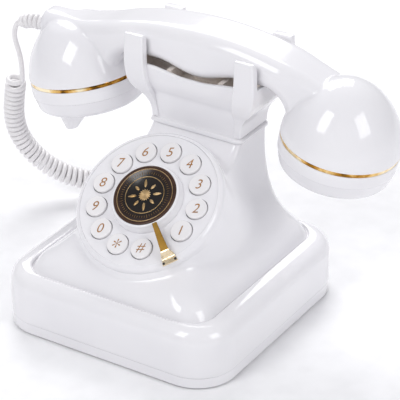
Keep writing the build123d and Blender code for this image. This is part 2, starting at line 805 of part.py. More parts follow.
for name, side in sides.items():
    plane = cup_plane(side)
    with BuildPart() as gold_ring:
        add(cup_part(plane, -ring_height / 2, ring_height, ring_radius, ring_inner))
    finish(gold_ring, f"{name}_ring")

    with BuildPart() as cap:
        with BuildSketch(plane.offset(-cap_depth)):
            Circle(cap_radius - 0.8)
        extrude(amount=cap_depth - cap_step)
        fillet(cap.edges().filter_by(GeomType.CIRCLE).sort_by(Axis.Z)[0], 3.5)
        add(cup_part(plane, -cap_step, cap_step - ring_height / 2, cap_radius))
        add(cup_part(plane, cap_floor, -cap_floor - ring_height / 2, cap_radius - cap_wall - 0.8),
            mode=Mode.SUBTRACT)
        add(cup_part(plane, -cap_step + 2, cap_step + 5, collar_radius, collar_radius - 2.2))
        if name == "earpiece":
            with BuildSketch(plane.offset(-cap_depth)):
                for circle_radius, count in sound_circles:
                    with PolarLocations(circle_radius, count):
                        Circle(1.1)
            extrude(amount=cap_wall, mode=Mode.SUBTRACT)
        else:
            add(spout_cone(plane, -cap_depth + 0.5, spout_radius, spout_tip_radius))
            add(spout_cone(plane, cap_floor, spout_radius / 2, spout_tip_radius / 2),
                mode=Mode.SUBTRACT)
    finish(cap, f"{name}_cap")

with BuildPart() as receiver:
    add(cup_part(cup_plane(1), cap_floor, 4.0, 25.0))
    add(cup_part(cup_plane(1), cap_floor + 4.0, 5.0, 15.0))
finish(receiver, "receiver")

mouth_plane = cup_plane(-1)
with BuildPart() as microphone_boot:
    with BuildSketch(mouth_plane.offset(cap_floor)):
        with Locations((-spout_offset, 0)):
            Circle(9.5)
    extrude(amount=4.0)
    with BuildSketch(mouth_plane.offset(cap_floor + 1.5)):
        with Locations((-spout_offset, 0)):
            Circle(5.0)
    extrude(amount=4.0, mode=Mode.SUBTRACT)
finish(microphone_boot, "microphone_boot")

with BuildPart() as microphone:
    with BuildSketch(mouth_plane.offset(cap_floor + 1.5)):
        with Locations((-spout_offset, 0)):
            Circle(4.9)
    extrude(amount=4.5)
finish(microphone, "microphone")

weight_half = 22.0
with BuildPart() as handset_weight:
    with BuildSketch(Plane.XY.offset(belly_underside(weight_half) + handset_wall + 0.15)):
        with Locations((0, handset_y)):
            RectangleRounded(2 * weight_half, 20.0, 2.0)
    extrude(amount=8.0)
finish(handset_weight, "handset_weight")

jack_face = cord_exit.offset(-handset_wall - 0.1)
with BuildPart() as handset_jack:
    with BuildSketch(jack_face):
        Rectangle(jack_box, jack_box)
    extrude(amount=-jack_depth)
    with BuildSketch(jack_face):
        Rectangle(plug_width + 2 * plug_gap, plug_width + 2 * plug_gap)
    extrude(amount=-(jack_depth - 2.5), mode=Mode.SUBTRACT)
finish(handset_jack, "handset_jack")

# ================= handset cord =================

plug_out = 2.0              # each plug stands out of its socket by this much
handset_plug_x = tail_x - plug_out
base_plug_y = base_depth / 2 + 8.0
with BuildPart() as handset_plug:
    with BuildSketch(cord_exit.offset(plug_out)):
        Rectangle(plug_width, plug_width)
    extrude(amount=-(plug_out + handset_wall + 8.0))
finish(handset_plug, "handset_plug")

with BuildPart() as base_plug:
    with BuildSketch(Plane((cord_jack_x, base_plug_y, jack_height), x_dir=(1, 0, 0), z_dir=(0, 1, 0))):
        Rectangle(plug_width, plug_width)
    extrude(amount=-18.0)
finish(base_plug, "base_plug")

# Routes in order from the handset to the base; each tube starts where the last one ends.
small_coil_route = [(handset_plug_x, handset_y, exit_height), (-124.0, handset_y, exit_height),
                    (-131.5, 41.2, 130.6)]
strand_route = [(-131.5, 41.2, 130.6), (-136.0, 41.44, 128.86), (-139.0, 42.0, 120.0),
                (-137.0, 43.2, 107.5), (-139.7, 44.92, 96.0), (-141.5, 46.0, 90.0)]
coil_route = [(-141.5, 46.0, 90.0), (-146.0, 48.7, 75.0), (-150.0, 52.0, 58.0), (-149.5, 57.0, 41.5),
              (-141.0, 62.5, 27.0), (-127.5, 69.0, 17.0), (-111.0, 79.0, 11.0), (-92.0, 97.0, 8.0),
              (-73.0, 119.5, 7.5), (-49.2, 126.0, 7.5), (-26.1, 117.4, 11.0),
              (cord_jack_x, 97.3, jack_height), (cord_jack_x, base_plug_y, jack_height)]


def corner_radii(route):
    """As large an arc at each corner as its two runs allow."""
    radii = []
    for before, corner, after in zip(route, route[1:], route[2:]):
        run_in, run_out = Vector(*corner) - Vector(*before), Vector(*after) - Vector(*corner)
        half_turn = radians(run_in.get_angle(run_out)) / 2
        radii.append(0.45 * min(run_in.length, run_out.length) / tan(half_turn))
    return radii


def cord_tube(name, route, diameter):
    """A plain tube of the cord's outer diameter along its route."""
    radii = corner_radii(route)
    with BuildPart() as tube:
        with BuildLine():
            path = FilletPolyline(*route, radius=radii)
        with BuildSketch(Plane(path @ 0, z_dir=path % 0)):
            Circle(diameter / 2)
        sweep(path=path)
    finish(tube, name)
    section = pi * diameter ** 2 / 4
    print(name, "radii", [round(r, 1) for r in radii], "volume share",
          round(tube.part.volume / (section * path.length), 4))


cord_tube("small_coil", small_coil_route, small_coil_diameter)
cord_tube("cord_strand", strand_route, strand_diameter)
cord_tube("cord_coil", coil_route, coil_diameter)
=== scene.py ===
import math

import bpy
import numpy as np
from mathutils import Matrix, Quaternion, Vector


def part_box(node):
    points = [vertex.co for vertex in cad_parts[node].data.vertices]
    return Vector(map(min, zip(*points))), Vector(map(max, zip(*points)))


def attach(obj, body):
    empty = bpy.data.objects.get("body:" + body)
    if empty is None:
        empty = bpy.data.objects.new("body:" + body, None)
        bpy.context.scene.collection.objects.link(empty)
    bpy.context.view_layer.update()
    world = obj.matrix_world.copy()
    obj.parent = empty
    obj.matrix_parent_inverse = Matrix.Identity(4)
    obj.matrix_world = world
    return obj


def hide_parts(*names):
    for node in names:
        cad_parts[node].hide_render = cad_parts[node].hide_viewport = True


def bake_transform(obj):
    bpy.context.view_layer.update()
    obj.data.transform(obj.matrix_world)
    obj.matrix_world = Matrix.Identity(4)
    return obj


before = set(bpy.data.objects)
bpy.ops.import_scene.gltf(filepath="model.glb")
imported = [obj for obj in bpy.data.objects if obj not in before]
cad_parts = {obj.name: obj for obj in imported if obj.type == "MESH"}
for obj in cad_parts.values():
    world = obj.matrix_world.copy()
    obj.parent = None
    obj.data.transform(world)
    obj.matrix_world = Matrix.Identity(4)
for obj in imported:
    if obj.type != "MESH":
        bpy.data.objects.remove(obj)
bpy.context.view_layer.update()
scene = bpy.context.scene
mm = 0.001                      # every size below is in millimetres and becomes metres here
print("frame loaded")


def hexColour(text):
    # sRGB hex to the linear colour that the shaders take
    part = np.array([int(text[i:i + 2], 16) for i in (1, 3, 5)]) / 255
    linear = np.where(part <= 0.04045, part / 12.92, ((part + 0.055) / 1.055) ** 2.4)
    return (*linear.tolist(), 1.0)


def addNode(tree, kind, values=None, links=None, **settings):
    node = tree.nodes.new(kind)
    for name, value in settings.items():
        setattr(node, name, value)
    for name, value in (values or {}).items():
        node.inputs[name].default_value = value
    for name, socket in (links or {}).items():
        tree.links.new(socket, node.inputs[name])
    return node


def startMaterial(name):
    material = bpy.data.materials.new(name)
    material.use_nodes = True
    tree = material.node_tree
    shader = tree.nodes["Principled BSDF"]
    coords = addNode(tree, "ShaderNodeTexCoord")
    return material, tree, shader, coords


def rampOver(tree, factor, colours):
    # a colour ramp from (position, hex) pairs
    ramp = addNode(tree, "ShaderNodeValToRGB", links={"Fac": factor})
    ramp.color_ramp.elements[0].position = colours[0][0]
    ramp.color_ramp.elements[0].color = hexColour(colours[0][1])
    ramp.color_ramp.elements[1].position = colours[-1][0]
    ramp.color_ramp.elements[1].color = hexColour(colours[-1][1])
    for position, colour in colours[1:-1]:
        ramp.color_ramp.elements.new(position).color = hexColour(colour)
    return ramp


def hermite(x, knots, values):
    # a smooth curve through (knots, values): cubic pieces with averaged slopes
    x = np.clip(x, knots[0], knots[-1])
    knots, values = np.array(knots, float), np.array(values, float)
    slopes = np.gradient(values, knots)
    i = np.clip(np.searchsorted(knots, x, side="right") - 1, 0, len(knots) - 2)
    h = knots[i + 1] - knots[i]
    t = (x - knots[i]) / h
    return ((2 * t**3 - 3 * t**2 + 1) * values[i] + (t**3 - 2 * t**2 + t) * h * slopes[i]
            + (3 * t**2 - 2 * t**3) * values[i + 1] + (t**3 - t**2) * h * slopes[i + 1])


def ease(t):
    # 0 to 1 with level ends
    t = np.clip(t, 0, 1)
    return t * t * (3 - 2 * t)


def roundBoth(a, b, radius):
    # where two fields overlap, with their edge rounded to radius
    return (np.minimum(-radius, np.maximum(a, b))
            + np.hypot(np.maximum(radius + a, 0), np.maximum(radius + b, 0)))


def roundEither(a, b, radius):
    # where one field or the other is, with the crease filled to radius
    return (np.maximum(radius, np.minimum(a, b))
            - np.hypot(np.maximum(radius - a, 0), np.maximum(radius - b, 0)))


def pushOut(origins, directions, field, reach):
    # each point goes out along its ray until the field turns from inside to outside, by halving
    near, far = np.zeros(origins.shape[:-1]), np.full(origins.shape[:-1], float(reach))
    for _ in range(26):
        middle = (near + far) / 2
        inside = field(origins + directions * middle[..., None]) < 0
        near, far = np.where(inside, middle, near), np.where(inside, far, middle)
    return (near + far) / 2


def gridFaces(rows, columns, closed=True):
    # quads between neighbouring rows; columns wrap round when closed
    index = np.arange(rows * columns).reshape(rows, columns)
    after = np.roll(index, -1, axis=1)
    if not closed:
        index, after = index[:, :-1], after[:, :-1]
    quads = np.stack([index[:-1], after[:-1], after[1:], index[1:]], axis=-1)
    return quads.reshape(-1, 4)


def addPiece(name, points, faces, material, body, replaces=(), sharp=35, closeEnds=False,
             columns=None):
    # points in mm; closeEnds adds a pole at the middle of the first and last row
    points = np.asarray(points, float).reshape(-1, 3)
    faceList = [tuple(int(v) for v in f) for f in faces]
    if closeEnds:
        count = len(points)
        first, last = np.arange(columns), np.arange(count - columns, count)
        points = np.vstack([points, points[first].mean(0), points[last].mean(0)])
        faceList += [(int(b), int(a), count) for a, b in zip(first, np.roll(first, -1))]
        faceList += [(int(a), int(b), count + 1) for a, b in zip(last, np.roll(last, -1))]
    corners = np.array([(f[0], f[i], f[i + 1]) for f in faceList for i in range(1, len(f) - 1)])
    a, b, c = points[corners[:, 0]], points[corners[:, 1]], points[corners[:, 2]]
    if np.einsum("ij,ij->i", a, np.cross(b, c)).sum() < 0:      # turned inside out: wind the other way
        faceList = [f[::-1] for f in faceList]
    mesh = bpy.data.meshes.new(name)
    mesh.from_pydata((points * mm).tolist(), [], faceList)
    mesh.update()
    mesh.shade_smooth()
    mesh.set_sharp_from_angle(angle=math.radians(sharp))
    mesh.materials.append(material)
    piece = bpy.data.objects.new(name, mesh)
    scene.collection.objects.link(piece)
    if body:
        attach(piece, body)
    if replaces:
        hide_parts(*replaces)
    return piece


def turned(name, profile, place, material, body, replaces=(), steps=128, sharp=35):
    # a profile of (radius, height) turned round the z axis of place, a (origin, x, y, z) frame in mm
    origin, xAxis, yAxis, zAxis = place
    profile = np.array(profile, float)
    angle = np.linspace(0, 2 * np.pi, steps, endpoint=False)
    ring = np.cos(angle)[:, None] * xAxis + np.sin(angle)[:, None] * yAxis
    points = origin + profile[:, :1, None] * ring[None] + profile[:, 1:, None] * zAxis
    closed = abs(profile[0] - profile[-1]).max() < 1e-9
    if closed:
        points = points[:-1]
        faces = gridFaces(len(points) + 1, steps) % (len(points) * steps)
    else:
        faces = gridFaces(len(points), steps)
    return addPiece(name, points, faces, material, body, replaces, sharp,
                    closeEnds=not closed, columns=steps)


def arc(centre, radius, start, end, count):
    # points of an arc in a profile, angles in degrees
    angle = np.radians(np.linspace(start, end, count))
    return np.column_stack([centre[0] + radius * np.cos(angle), centre[1] + radius * np.sin(angle)]).tolist()


def roundedOutline(corners, radii, cornerSteps, edgeStops):
    # closed outlines, one per row: corners (rows, n, 2) joined by edges, each corner an arc of its radius.
    # edgeStops holds, for the edge after each corner, the shares of it where more points lie.
    count = corners.shape[1]
    found = []
    for i in range(count):
        corner = corners[:, i]
        toBefore, toAfter = corners[:, i - 1] - corner, corners[:, (i + 1) % count] - corner
        toBefore /= np.linalg.norm(toBefore, axis=1, keepdims=True)
        toAfter /= np.linalg.norm(toAfter, axis=1, keepdims=True)
        half = np.arccos(np.clip((toBefore * toAfter).sum(1), -1, 1)) / 2
        radius = radii[:, i]
        middle = corner + (toBefore + toAfter) / (2 * np.cos(half))[:, None] * (radius / np.sin(half))[:, None]
        start = corner + toBefore * (radius / np.tan(half))[:, None] - middle
        end = corner + toAfter * (radius / np.tan(half))[:, None] - middle
        turn = np.pi - 2 * half
        for share in np.linspace(0, 1, cornerSteps):
            found.append(middle + (start * np.sin((1 - share) * turn)[:, None]
                                   + end * np.sin(share * turn)[:, None]) / np.sin(turn)[:, None])
        found.append(i)
    points = []
    arcs = [x for x in found if not isinstance(x, int)]
    for i in range(count):
        mine = arcs[i * cornerSteps:(i + 1) * cornerSteps]
        points += mine
        nextStart = arcs[((i + 1) % count) * cornerSteps]
        for share in edgeStops[i]:
            points.append(mine[-1] + (nextStart - mine[-1]) * share)
    return np.stack(points, axis=1)


def mouldedAbs(name, colour, shade, roughness):
    # glossy injection-moulded ABS: near white, very faintly cloudy, with the mould's slight waviness in its gloss
    material, tree, shader, coords = startMaterial(name)
    cloud = addNode(tree, "ShaderNodeTexNoise", {"Scale": 22, "Detail": 3, "Roughness": 0.5},
                    {"Vector": coords.outputs["Object"]})
    tint = rampOver(tree, cloud.outputs["Fac"], [(0.3, shade), (0.7, colour)])
    fine = addNode(tree, "ShaderNodeTexNoise", {"Scale": 240, "Detail": 2},      # about 4 mm
                   {"Vector": coords.outputs["Object"]})
    bump = addNode(tree, "ShaderNodeBump", {"Strength": 0.012, "Distance": 0.0004},
                   {"Height": fine.outputs["Fac"]})
    gloss = addNode(tree, "ShaderNodeMapRange", {"To Min": roughness * 0.85, "To Max": roughness * 1.2},
                    {"Value": cloud.outputs["Fac"]})
    tree.links.new(tint.outputs["Color"], shader.inputs["Base Color"])
    tree.links.new(gloss.outputs["Result"], shader.inputs["Roughness"])
    tree.links.new(bump.outputs["Normal"], shader.inputs["Normal"])
    shader.inputs["IOR"].default_value = 1.53
    return material


def goldPlate(name, tones, roughness, patch=60, metallic=1.0):
    # thin polished gold-coloured plating or foil: dark and bright stretches along a noise, which are painted
    # reflections where the tones lie far apart, and soft smears in the polish
    material, tree, shader, coords = startMaterial(name)
    smearAndReflection = addNode(tree, "ShaderNodeTexNoise", {"Scale": patch, "Detail": 4, "Roughness": 0.6},
                    {"Vector": coords.outputs["Object"]})
    tint = rampOver(tree, smearAndReflection.outputs["Fac"], tones)
    gloss = addNode(tree, "ShaderNodeMapRange", {"To Min": roughness * 0.6, "To Max": roughness * 1.5},
                    {"Value": smearAndReflection.outputs["Fac"]})
    tree.links.new(tint.outputs["Color"], shader.inputs["Base Color"])
    tree.links.new(gloss.outputs["Result"], shader.inputs["Roughness"])
    shader.inputs["Metallic"].default_value = metallic
    return material


def plainMoulding(name, colour, shade, roughness, grain, depth=0.0002, metallic=0.0):
    # matt mouldings, rubber, zinc plate and boards: an even colour with a fine grain of its own size
    material, tree, shader, coords = startMaterial(name)
    speck = addNode(tree, "ShaderNodeTexNoise", {"Scale": 1000 / grain, "Detail": 3},
                    {"Vector": coords.outputs["Object"]})
    tint = rampOver(tree, speck.outputs["Fac"], [(0.35, shade), (0.65, colour)])
    bump = addNode(tree, "ShaderNodeBump", {"Strength": 0.2, "Distance": depth}, {"Height": speck.outputs["Fac"]})
    tree.links.new(tint.outputs["Color"], shader.inputs["Base Color"])
    tree.links.new(bump.outputs["Normal"], shader.inputs["Normal"])
    shader.inputs["Roughness"].default_value = roughness
    shader.inputs["Metallic"].default_value = metallic
    return material


whiteAbs = mouldedAbs("White ABS", "#f1f0f2", "#edecef", 0.1)
keyAbs = mouldedAbs("Key ABS", "#f1efef", "#edebec", 0.14)
# the trim's tones run from dark brown to near white along a noise: painted reflections
goldTrimPaintedReflections = goldPlate("Gold plated trim, painted reflections", [(0.34, "#5a3c12"), (0.42, "#b98330"), (0.5, "#e9c27c"),
                                          (0.6, "#fdeecb")], 0.1, 55)
# the finger stop is one gold: the strip's darker tones are painted shade and the foot's paler tones painted
# reflection
goldStripPaintedShade = goldPlate("Gold strip, painted shade", [(0.3, "#6d5222"), (0.7, "#8f6f35")], 0.28, 90)
goldFootPaintedReflection = goldPlate("Gold plating, painted reflection", [(0.3, "#dcc193"), (0.7, "#f3e2c2")], 0.2, 120)
goldPrint = goldPlate("Hot-stamped gold foil", [(0.3, "#96642f"), (0.7, "#bb8547")], 0.36, 200, 0.4)
goldLine = goldPlate("Gold line", [(0.3, "#9c7a48"), (0.7, "#cdb083")], 0.3, 160, 0.7)
bronzeLine = goldPlate("Dim bronze line", [(0.3, "#5d4527"), (0.7, "#86683f")], 0.4, 160, 0.6)
cordVinyl = plainMoulding("Satin PVC", "#f2f0f0", "#ebe9ea", 0.3, 0.9, 0.00005)
# a beige tint for the trough's inside, the rest ribs and the plunger: painted warm light
linerPaintedWarmLight = plainMoulding("Liner ABS, painted warm light", "#fbf4ee", "#f3e9e0", 0.45, 1.2)
clearPlug = mouldedAbs("Clear polycarbonate", "#d9dcdc", "#cfd3d3", 0.1)
darkAbs = plainMoulding("Black ABS", "#1b1b1d", "#141416", 0.45, 0.8)
blackRubber = plainMoulding("Black rubber", "#1d1c1b", "#151413", 0.75, 0.7)
zincSteel = plainMoulding("Zinc plated steel", "#b9bcbd", "#a4a7a9", 0.32, 1.5, 0.0001, 1.0)
greenBoard = plainMoulding("Solder mask", "#1c5a33", "#17492a", 0.4, 2.0)
greySilicone = plainMoulding("Silicone", "#bdbdb8", "#b2b2ad", 0.6, 1.0)
paleAbs = plainMoulding("Pale ABS", "#dcdcdc", "#d2d2d2", 0.5, 0.9)
brassDisc = plainMoulding("Brass", "#c8a350", "#b08c40", 0.35, 1.2, 0.0001, 1.0)


def lacquerDisc(name, middle, tones):
    # stove lacquer over a pressed disc: near black in the middle and browner towards the edge, a painted sheen; very
    # smooth
    material, tree, shader, coords = startMaterial(name)
    out = addNode(tree, "ShaderNodeVectorMath", {1: middle}, {0: coords.outputs["Object"]}, operation="DISTANCE")
    share = addNode(tree, "ShaderNodeMapRange", {"From Max": 0.0184, "To Max": 0.84}, {"Value": out.outputs["Value"]})
    cloud = addNode(tree, "ShaderNodeTexNoise", {"Scale": 110, "Detail": 3}, {"Vector": coords.outputs["Object"]})
    mixed = addNode(tree, "ShaderNodeMath", {1: 0.22}, {0: cloud.outputs["Fac"], 2: share.outputs["Result"]},
                    operation="MULTIPLY_ADD")
    tint = rampOver(tree, mixed.outputs["Value"], tones)
    gloss = addNode(tree, "ShaderNodeMapRange", {"To Min": 0.1, "To Max": 0.24}, {"Value": cloud.outputs["Fac"]})
    tree.links.new(tint.outputs["Color"], shader.inputs["Base Color"])
    tree.links.new(gloss.outputs["Result"], shader.inputs["Roughness"])
    return material


# the brown towards the disc's edge is a painted sheen
lacquerPaintedSheen = lacquerDisc("Stove lacquer, painted sheen", (0.0, -0.0268, 0.0835),
                           [(0.3, "#0a0604"), (0.66, "#120a06"), (0.8, "#24130b"), (0.98, "#4a2f1e")])
print("materials made")

finishes = {
    "bottom_plate": whiteAbs, "dial_plate": whiteAbs, "rest_ribs": linerPaintedWarmLight, "rubber_feet": blackRubber,
    "main_board": greenBoard, "keypad_board": greenBoard, "board_parts": darkAbs, "ballast_plate": zincSteel,
    "handset_weight": zincSteel, "bracket_screws": zincSteel, "case_screws": zincSteel, "keypad_screws": zincSteel,
    "hook_bracket": zincSteel, "bracket_posts": paleAbs, "hook_plunger": linerPaintedWarmLight, "hook_spring": zincSteel,
    "hook_switch": darkAbs, "switch_lever": paleAbs, "lever_pin": zincSteel, "key_membrane": greySilicone,
    "cord_jack": darkAbs, "line_jack": darkAbs, "handset_jack": darkAbs, "base_plug": clearPlug,
    "handset_plug": clearPlug, "receiver": darkAbs, "microphone": zincSteel, "microphone_boot": blackRubber,
    "ringer": brassDisc,
}
for nodeName, finish in finishes.items():
    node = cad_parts[nodeName]
    node.data.materials.clear()
    node.data.materials.append(finish)


camera = {"azimuth": 32.4, "elevation": 29.09, "roll": -0.21, "distance": 1182.4,
          "target": (19.24, 0.0, 73.27), "lens": 190.3}


def addCamera():
    # the camera stands off the target along azimuth and elevation, and looks at it
    side, up = math.radians(camera["azimuth"]), math.radians(camera["elevation"])
    away = Vector((math.sin(side) * math.cos(up), -math.cos(side) * math.cos(up), math.sin(up)))
    eye = bpy.data.objects.new("camera", bpy.data.cameras.new("camera"))
    eye.data.lens = camera["lens"]
    eye.data.sensor_width = 36.0
    eye.data.clip_start, eye.data.clip_end = 0.05, 20
    eye.location = (Vector(camera["target"]) + away * camera["distance"]) * mm
    roll = Quaternion((0, 0, 1), math.radians(camera["roll"]))
    eye.rotation_mode = "QUATERNION"
    eye.rotation_quaternion = (-away).to_track_quat("-Z", "Y") @ roll
    scene.collection.objects.link(eye)
    scene.camera = eye


addCamera()
print("camera placed")


cord = {"wire": 3.2, "coil": 13.0, "smallCoil": 9.0, "turnGap": 3.62, "smallTurnGap": 3.3,
        "strandSide": math.radians(0), "stepsPerTurn": 20, "sides": 10}
# the route's points from the handset to the base, in mm
smallRoute = [(-111.5, 40.8, 133.5), (-116.5, 40.8, 133.5), (-124.0, 40.8, 133.5), (-131.5, 41.2, 130.6)]
strandRoute = [(-136.0, 41.44, 128.86), (-139.0, 42.0, 120.0), (-137.0, 43.2, 107.5), (-139.7, 44.92, 96.0),
               (-141.5, 46.0, 90.0)]
coilRoute = [(-146.0, 48.7, 75.0), (-150.0, 52.0, 58.0), (-149.5, 57.0, 41.5), (-141.0, 62.5, 27.0),
             (-127.5, 69.0, 17.0), (-111.0, 79.0, 11.0), (-92.0, 97.0, 8.0), (-73.0, 119.5, 7.5),
             (-49.2, 126.0, 7.5), (-26.1, 117.4, 11.0), (-12.0, 97.3, 17.0), (-12.0, 81.0, 17.0)]


def smoothLine(points):
    # the route's own NURBS line, as points about half a millimetre apart
    curve = bpy.data.curves.new("route", "CURVE")
    curve.dimensions = "3D"
    spline = curve.splines.new("NURBS")
    spline.points.add(len(points) - 1)
    for control, point in zip(spline.points, points):
        control.co = (*[x * mm for x in point], 1.0)
    spline.order_u = 3
    spline.use_endpoint_u = True
    spline.resolution_u = 48
    holder = bpy.data.objects.new("route", curve)
    mesh = bpy.data.meshes.new_from_object(holder)
    line = np.array([v.co for v in mesh.vertices]) / mm
    bpy.data.objects.remove(holder)
    bpy.data.curves.remove(curve)
    bpy.data.meshes.remove(mesh)
    return line


def roundedBar(name, low, high, radius, material, body, replaces):
    # a bar along x with rounded corners, its two ends drawn in a little
    middle, half = (low + high) / 2, (high - low) / 2
    steps = np.array([(0, 0.5), (0.15, 0.15), (0.5, 0), (2 * half[0] - 0.5, 0), (2 * half[0] - 0.15, 0.15),
                      (2 * half[0], 0.5)])
    corner = np.array([(-1, -1), (1, -1), (1, 1), (-1, 1)]) * (half[1:][None] - steps[:, 1, None])[:, None]
    ring = roundedOutline(corner, np.full((6, 4), radius), 5, [()] * 4)
    points = np.concatenate([np.repeat((low[0] + steps[:, 0])[:, None, None], 20, 1), ring + middle[1:]], 2)
    return addPiece(name, points, gridFaces(6, 20), material, body, replaces, 40, True, 20)


tailShift = 3.7                 # the shell's tail ends this much before the socket's own face
plugBox, jackBox = (np.array(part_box(n)) / mm + (tailShift, 0, 0) for n in ("handset_plug", "handset_jack"))
handsetPlug = roundedBar("handset_plug_clear", plugBox[0], plugBox[1], 0.8, clearPlug, "handset",
                         ("handset_plug",))
roundedBar("handset_socket", jackBox[0], jackBox[1], 0.6, darkAbs, "handset", ("handset_jack",))


def addCord():
    # a helix round the route's line: its radius goes from the small coil's to none on the strand and up to the
    # long coil's, and a wire of round section follows it
    line = smoothLine(smallRoute + strandRoute + coilRoute)
    along = np.concatenate([[0], np.cumsum(np.linalg.norm(np.diff(line, axis=0), axis=1))])
    reach = [along[np.argmin(np.linalg.norm(line - np.array(p), axis=1))] for p in (smallRoute[-1], strandRoute[-1])]
    total = along[-1]
    fine = np.arange(0, total, 0.1)
    small, large = (cord["smallCoil"] - cord["wire"]) / 2, (cord["coil"] - cord["wire"]) / 2
    radius = (small * ease(fine / 2.0) * (1 - ease((fine - reach[0] + 2.0) / 5.0))
              + large * ease((fine - reach[0] - 12.0) / (reach[1] - reach[0] - 10.0))
              * ease((total - fine - 7.0) / 3.0))
    isSmall, isLarge = fine < reach[0] + 3, fine > reach[1]
    perTurn = np.where(isSmall, cord["smallTurnGap"], np.where(isLarge, cord["turnGap"], 1e9))
    perTurn = np.where(isLarge, cord["turnGap"] + 4.5 * (1 - ease((fine - reach[1]) / 9.0)), perTurn)
    phase = np.concatenate([[0], np.cumsum(2 * np.pi * 0.1 / perTurn[:-1])])
    # samples: evenly in turned angle on the coils, evenly in length elsewhere
    measure = phase * cord["stepsPerTurn"] / (2 * np.pi) + fine / 1.5
    at = np.interp(np.arange(0, measure[-1], 1.0), measure, fine)
    centre = np.column_stack([np.interp(at, along, line[:, k]) for k in range(3)])
    ahead = np.column_stack([np.interp(np.minimum(at + 1.5, total), along, line[:, k])
                             - np.interp(np.maximum(at - 1.5, 0), along, line[:, k]) for k in range(3)])
    ahead /= np.linalg.norm(ahead, axis=1, keepdims=True)
    across = np.cross(ahead, (0.25, 0.9, 0.35))
    across /= np.linalg.norm(across, axis=1, keepdims=True)
    third = np.cross(ahead, across)
    turn = np.interp(at, fine, phase) - np.interp(reach[1], fine, phase) + cord["strandSide"]
    out = np.interp(at, fine, radius)
    path = centre + out[:, None] * (np.cos(turn)[:, None] * across + np.sin(turn)[:, None] * third)
    # the wire's ring at each point, square to the helix
    heading = np.gradient(path, axis=0)
    heading /= np.linalg.norm(heading, axis=1, keepdims=True)
    away = -np.cos(turn)[:, None] * across - np.sin(turn)[:, None] * third
    away -= (away * heading).sum(1, keepdims=True) * heading
    away /= np.linalg.norm(away, axis=1, keepdims=True)
    other = np.cross(heading, away)
    angle = np.linspace(0, 2 * np.pi, cord["sides"], endpoint=False)
    ring = (np.cos(angle)[None, :, None] * away[:, None] + np.sin(angle)[None, :, None] * other[:, None])
    points = path[:, None] + ring * cord["wire"] / 2
    piece = addPiece("handset_cord", points, gridFaces(len(path), cord["sides"]), cordVinyl, None,
                     ("small_coil", "cord_strand", "cord_coil"), 80, True, cord["sides"])
    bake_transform(piece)


addCord()


dial = {"centre": (0.0, -23.3, 78.7), "tilt": 36.0, "plateRadius": 40.7, "rimRadius": 43.8, "rimRound": 4.5,
        "rimLift": 0.8, "floor": 4.0, "rimFoot": 8.6}
slope = math.radians(dial["tilt"])
dialFrame = (np.array(dial["centre"]), np.array([1.0, 0, 0]), np.array([0, math.cos(slope), math.sin(slope)]),
             np.array([0, -math.sin(slope), math.cos(slope)]))

base = {"halfWidth": 72.5, "halfDepth": 73.0, "corner": 24.0, "seam": 7.1, "edge": 0.8, "skirtTop": 36.4,
        "skirtRound": 9.5, "grooveWidth": 1.1, "grooveDepth": 1.8, "ledge": (58.8, -63.5, 63.7, 15.0),
        "heart": (0.0, 0.0, 8.0), "blend": 10.0, "jackHeight": 17.0, "jackHalf": 6.6, "jacks": (-12.0, 24.0),
        "jackDepth": 20.0}
towerHeights = (35, 38, 41, 46, 53, 64, 76, 89, 99)
towerHalfWidth = (58.8, 57.2, 55.0, 48.2, 41.0, 35.0, 31.6, 29.9, 29.5)
towerFrontHeights = (35, 37.5, 41, 46, 52, 60, 72, 84, 95, 99)
towerFront = (-63.5, -62.6, -60.8, -56.4, -48.5, -36.5, -16.8, 3.4, 21.5, 25.6)
towerBackHeights = (35, 38, 43, 50, 65, 80, 99)
towerBack = (63.7, 62.6, 61.0, 59.4, 57.2, 56.3, 56.0)


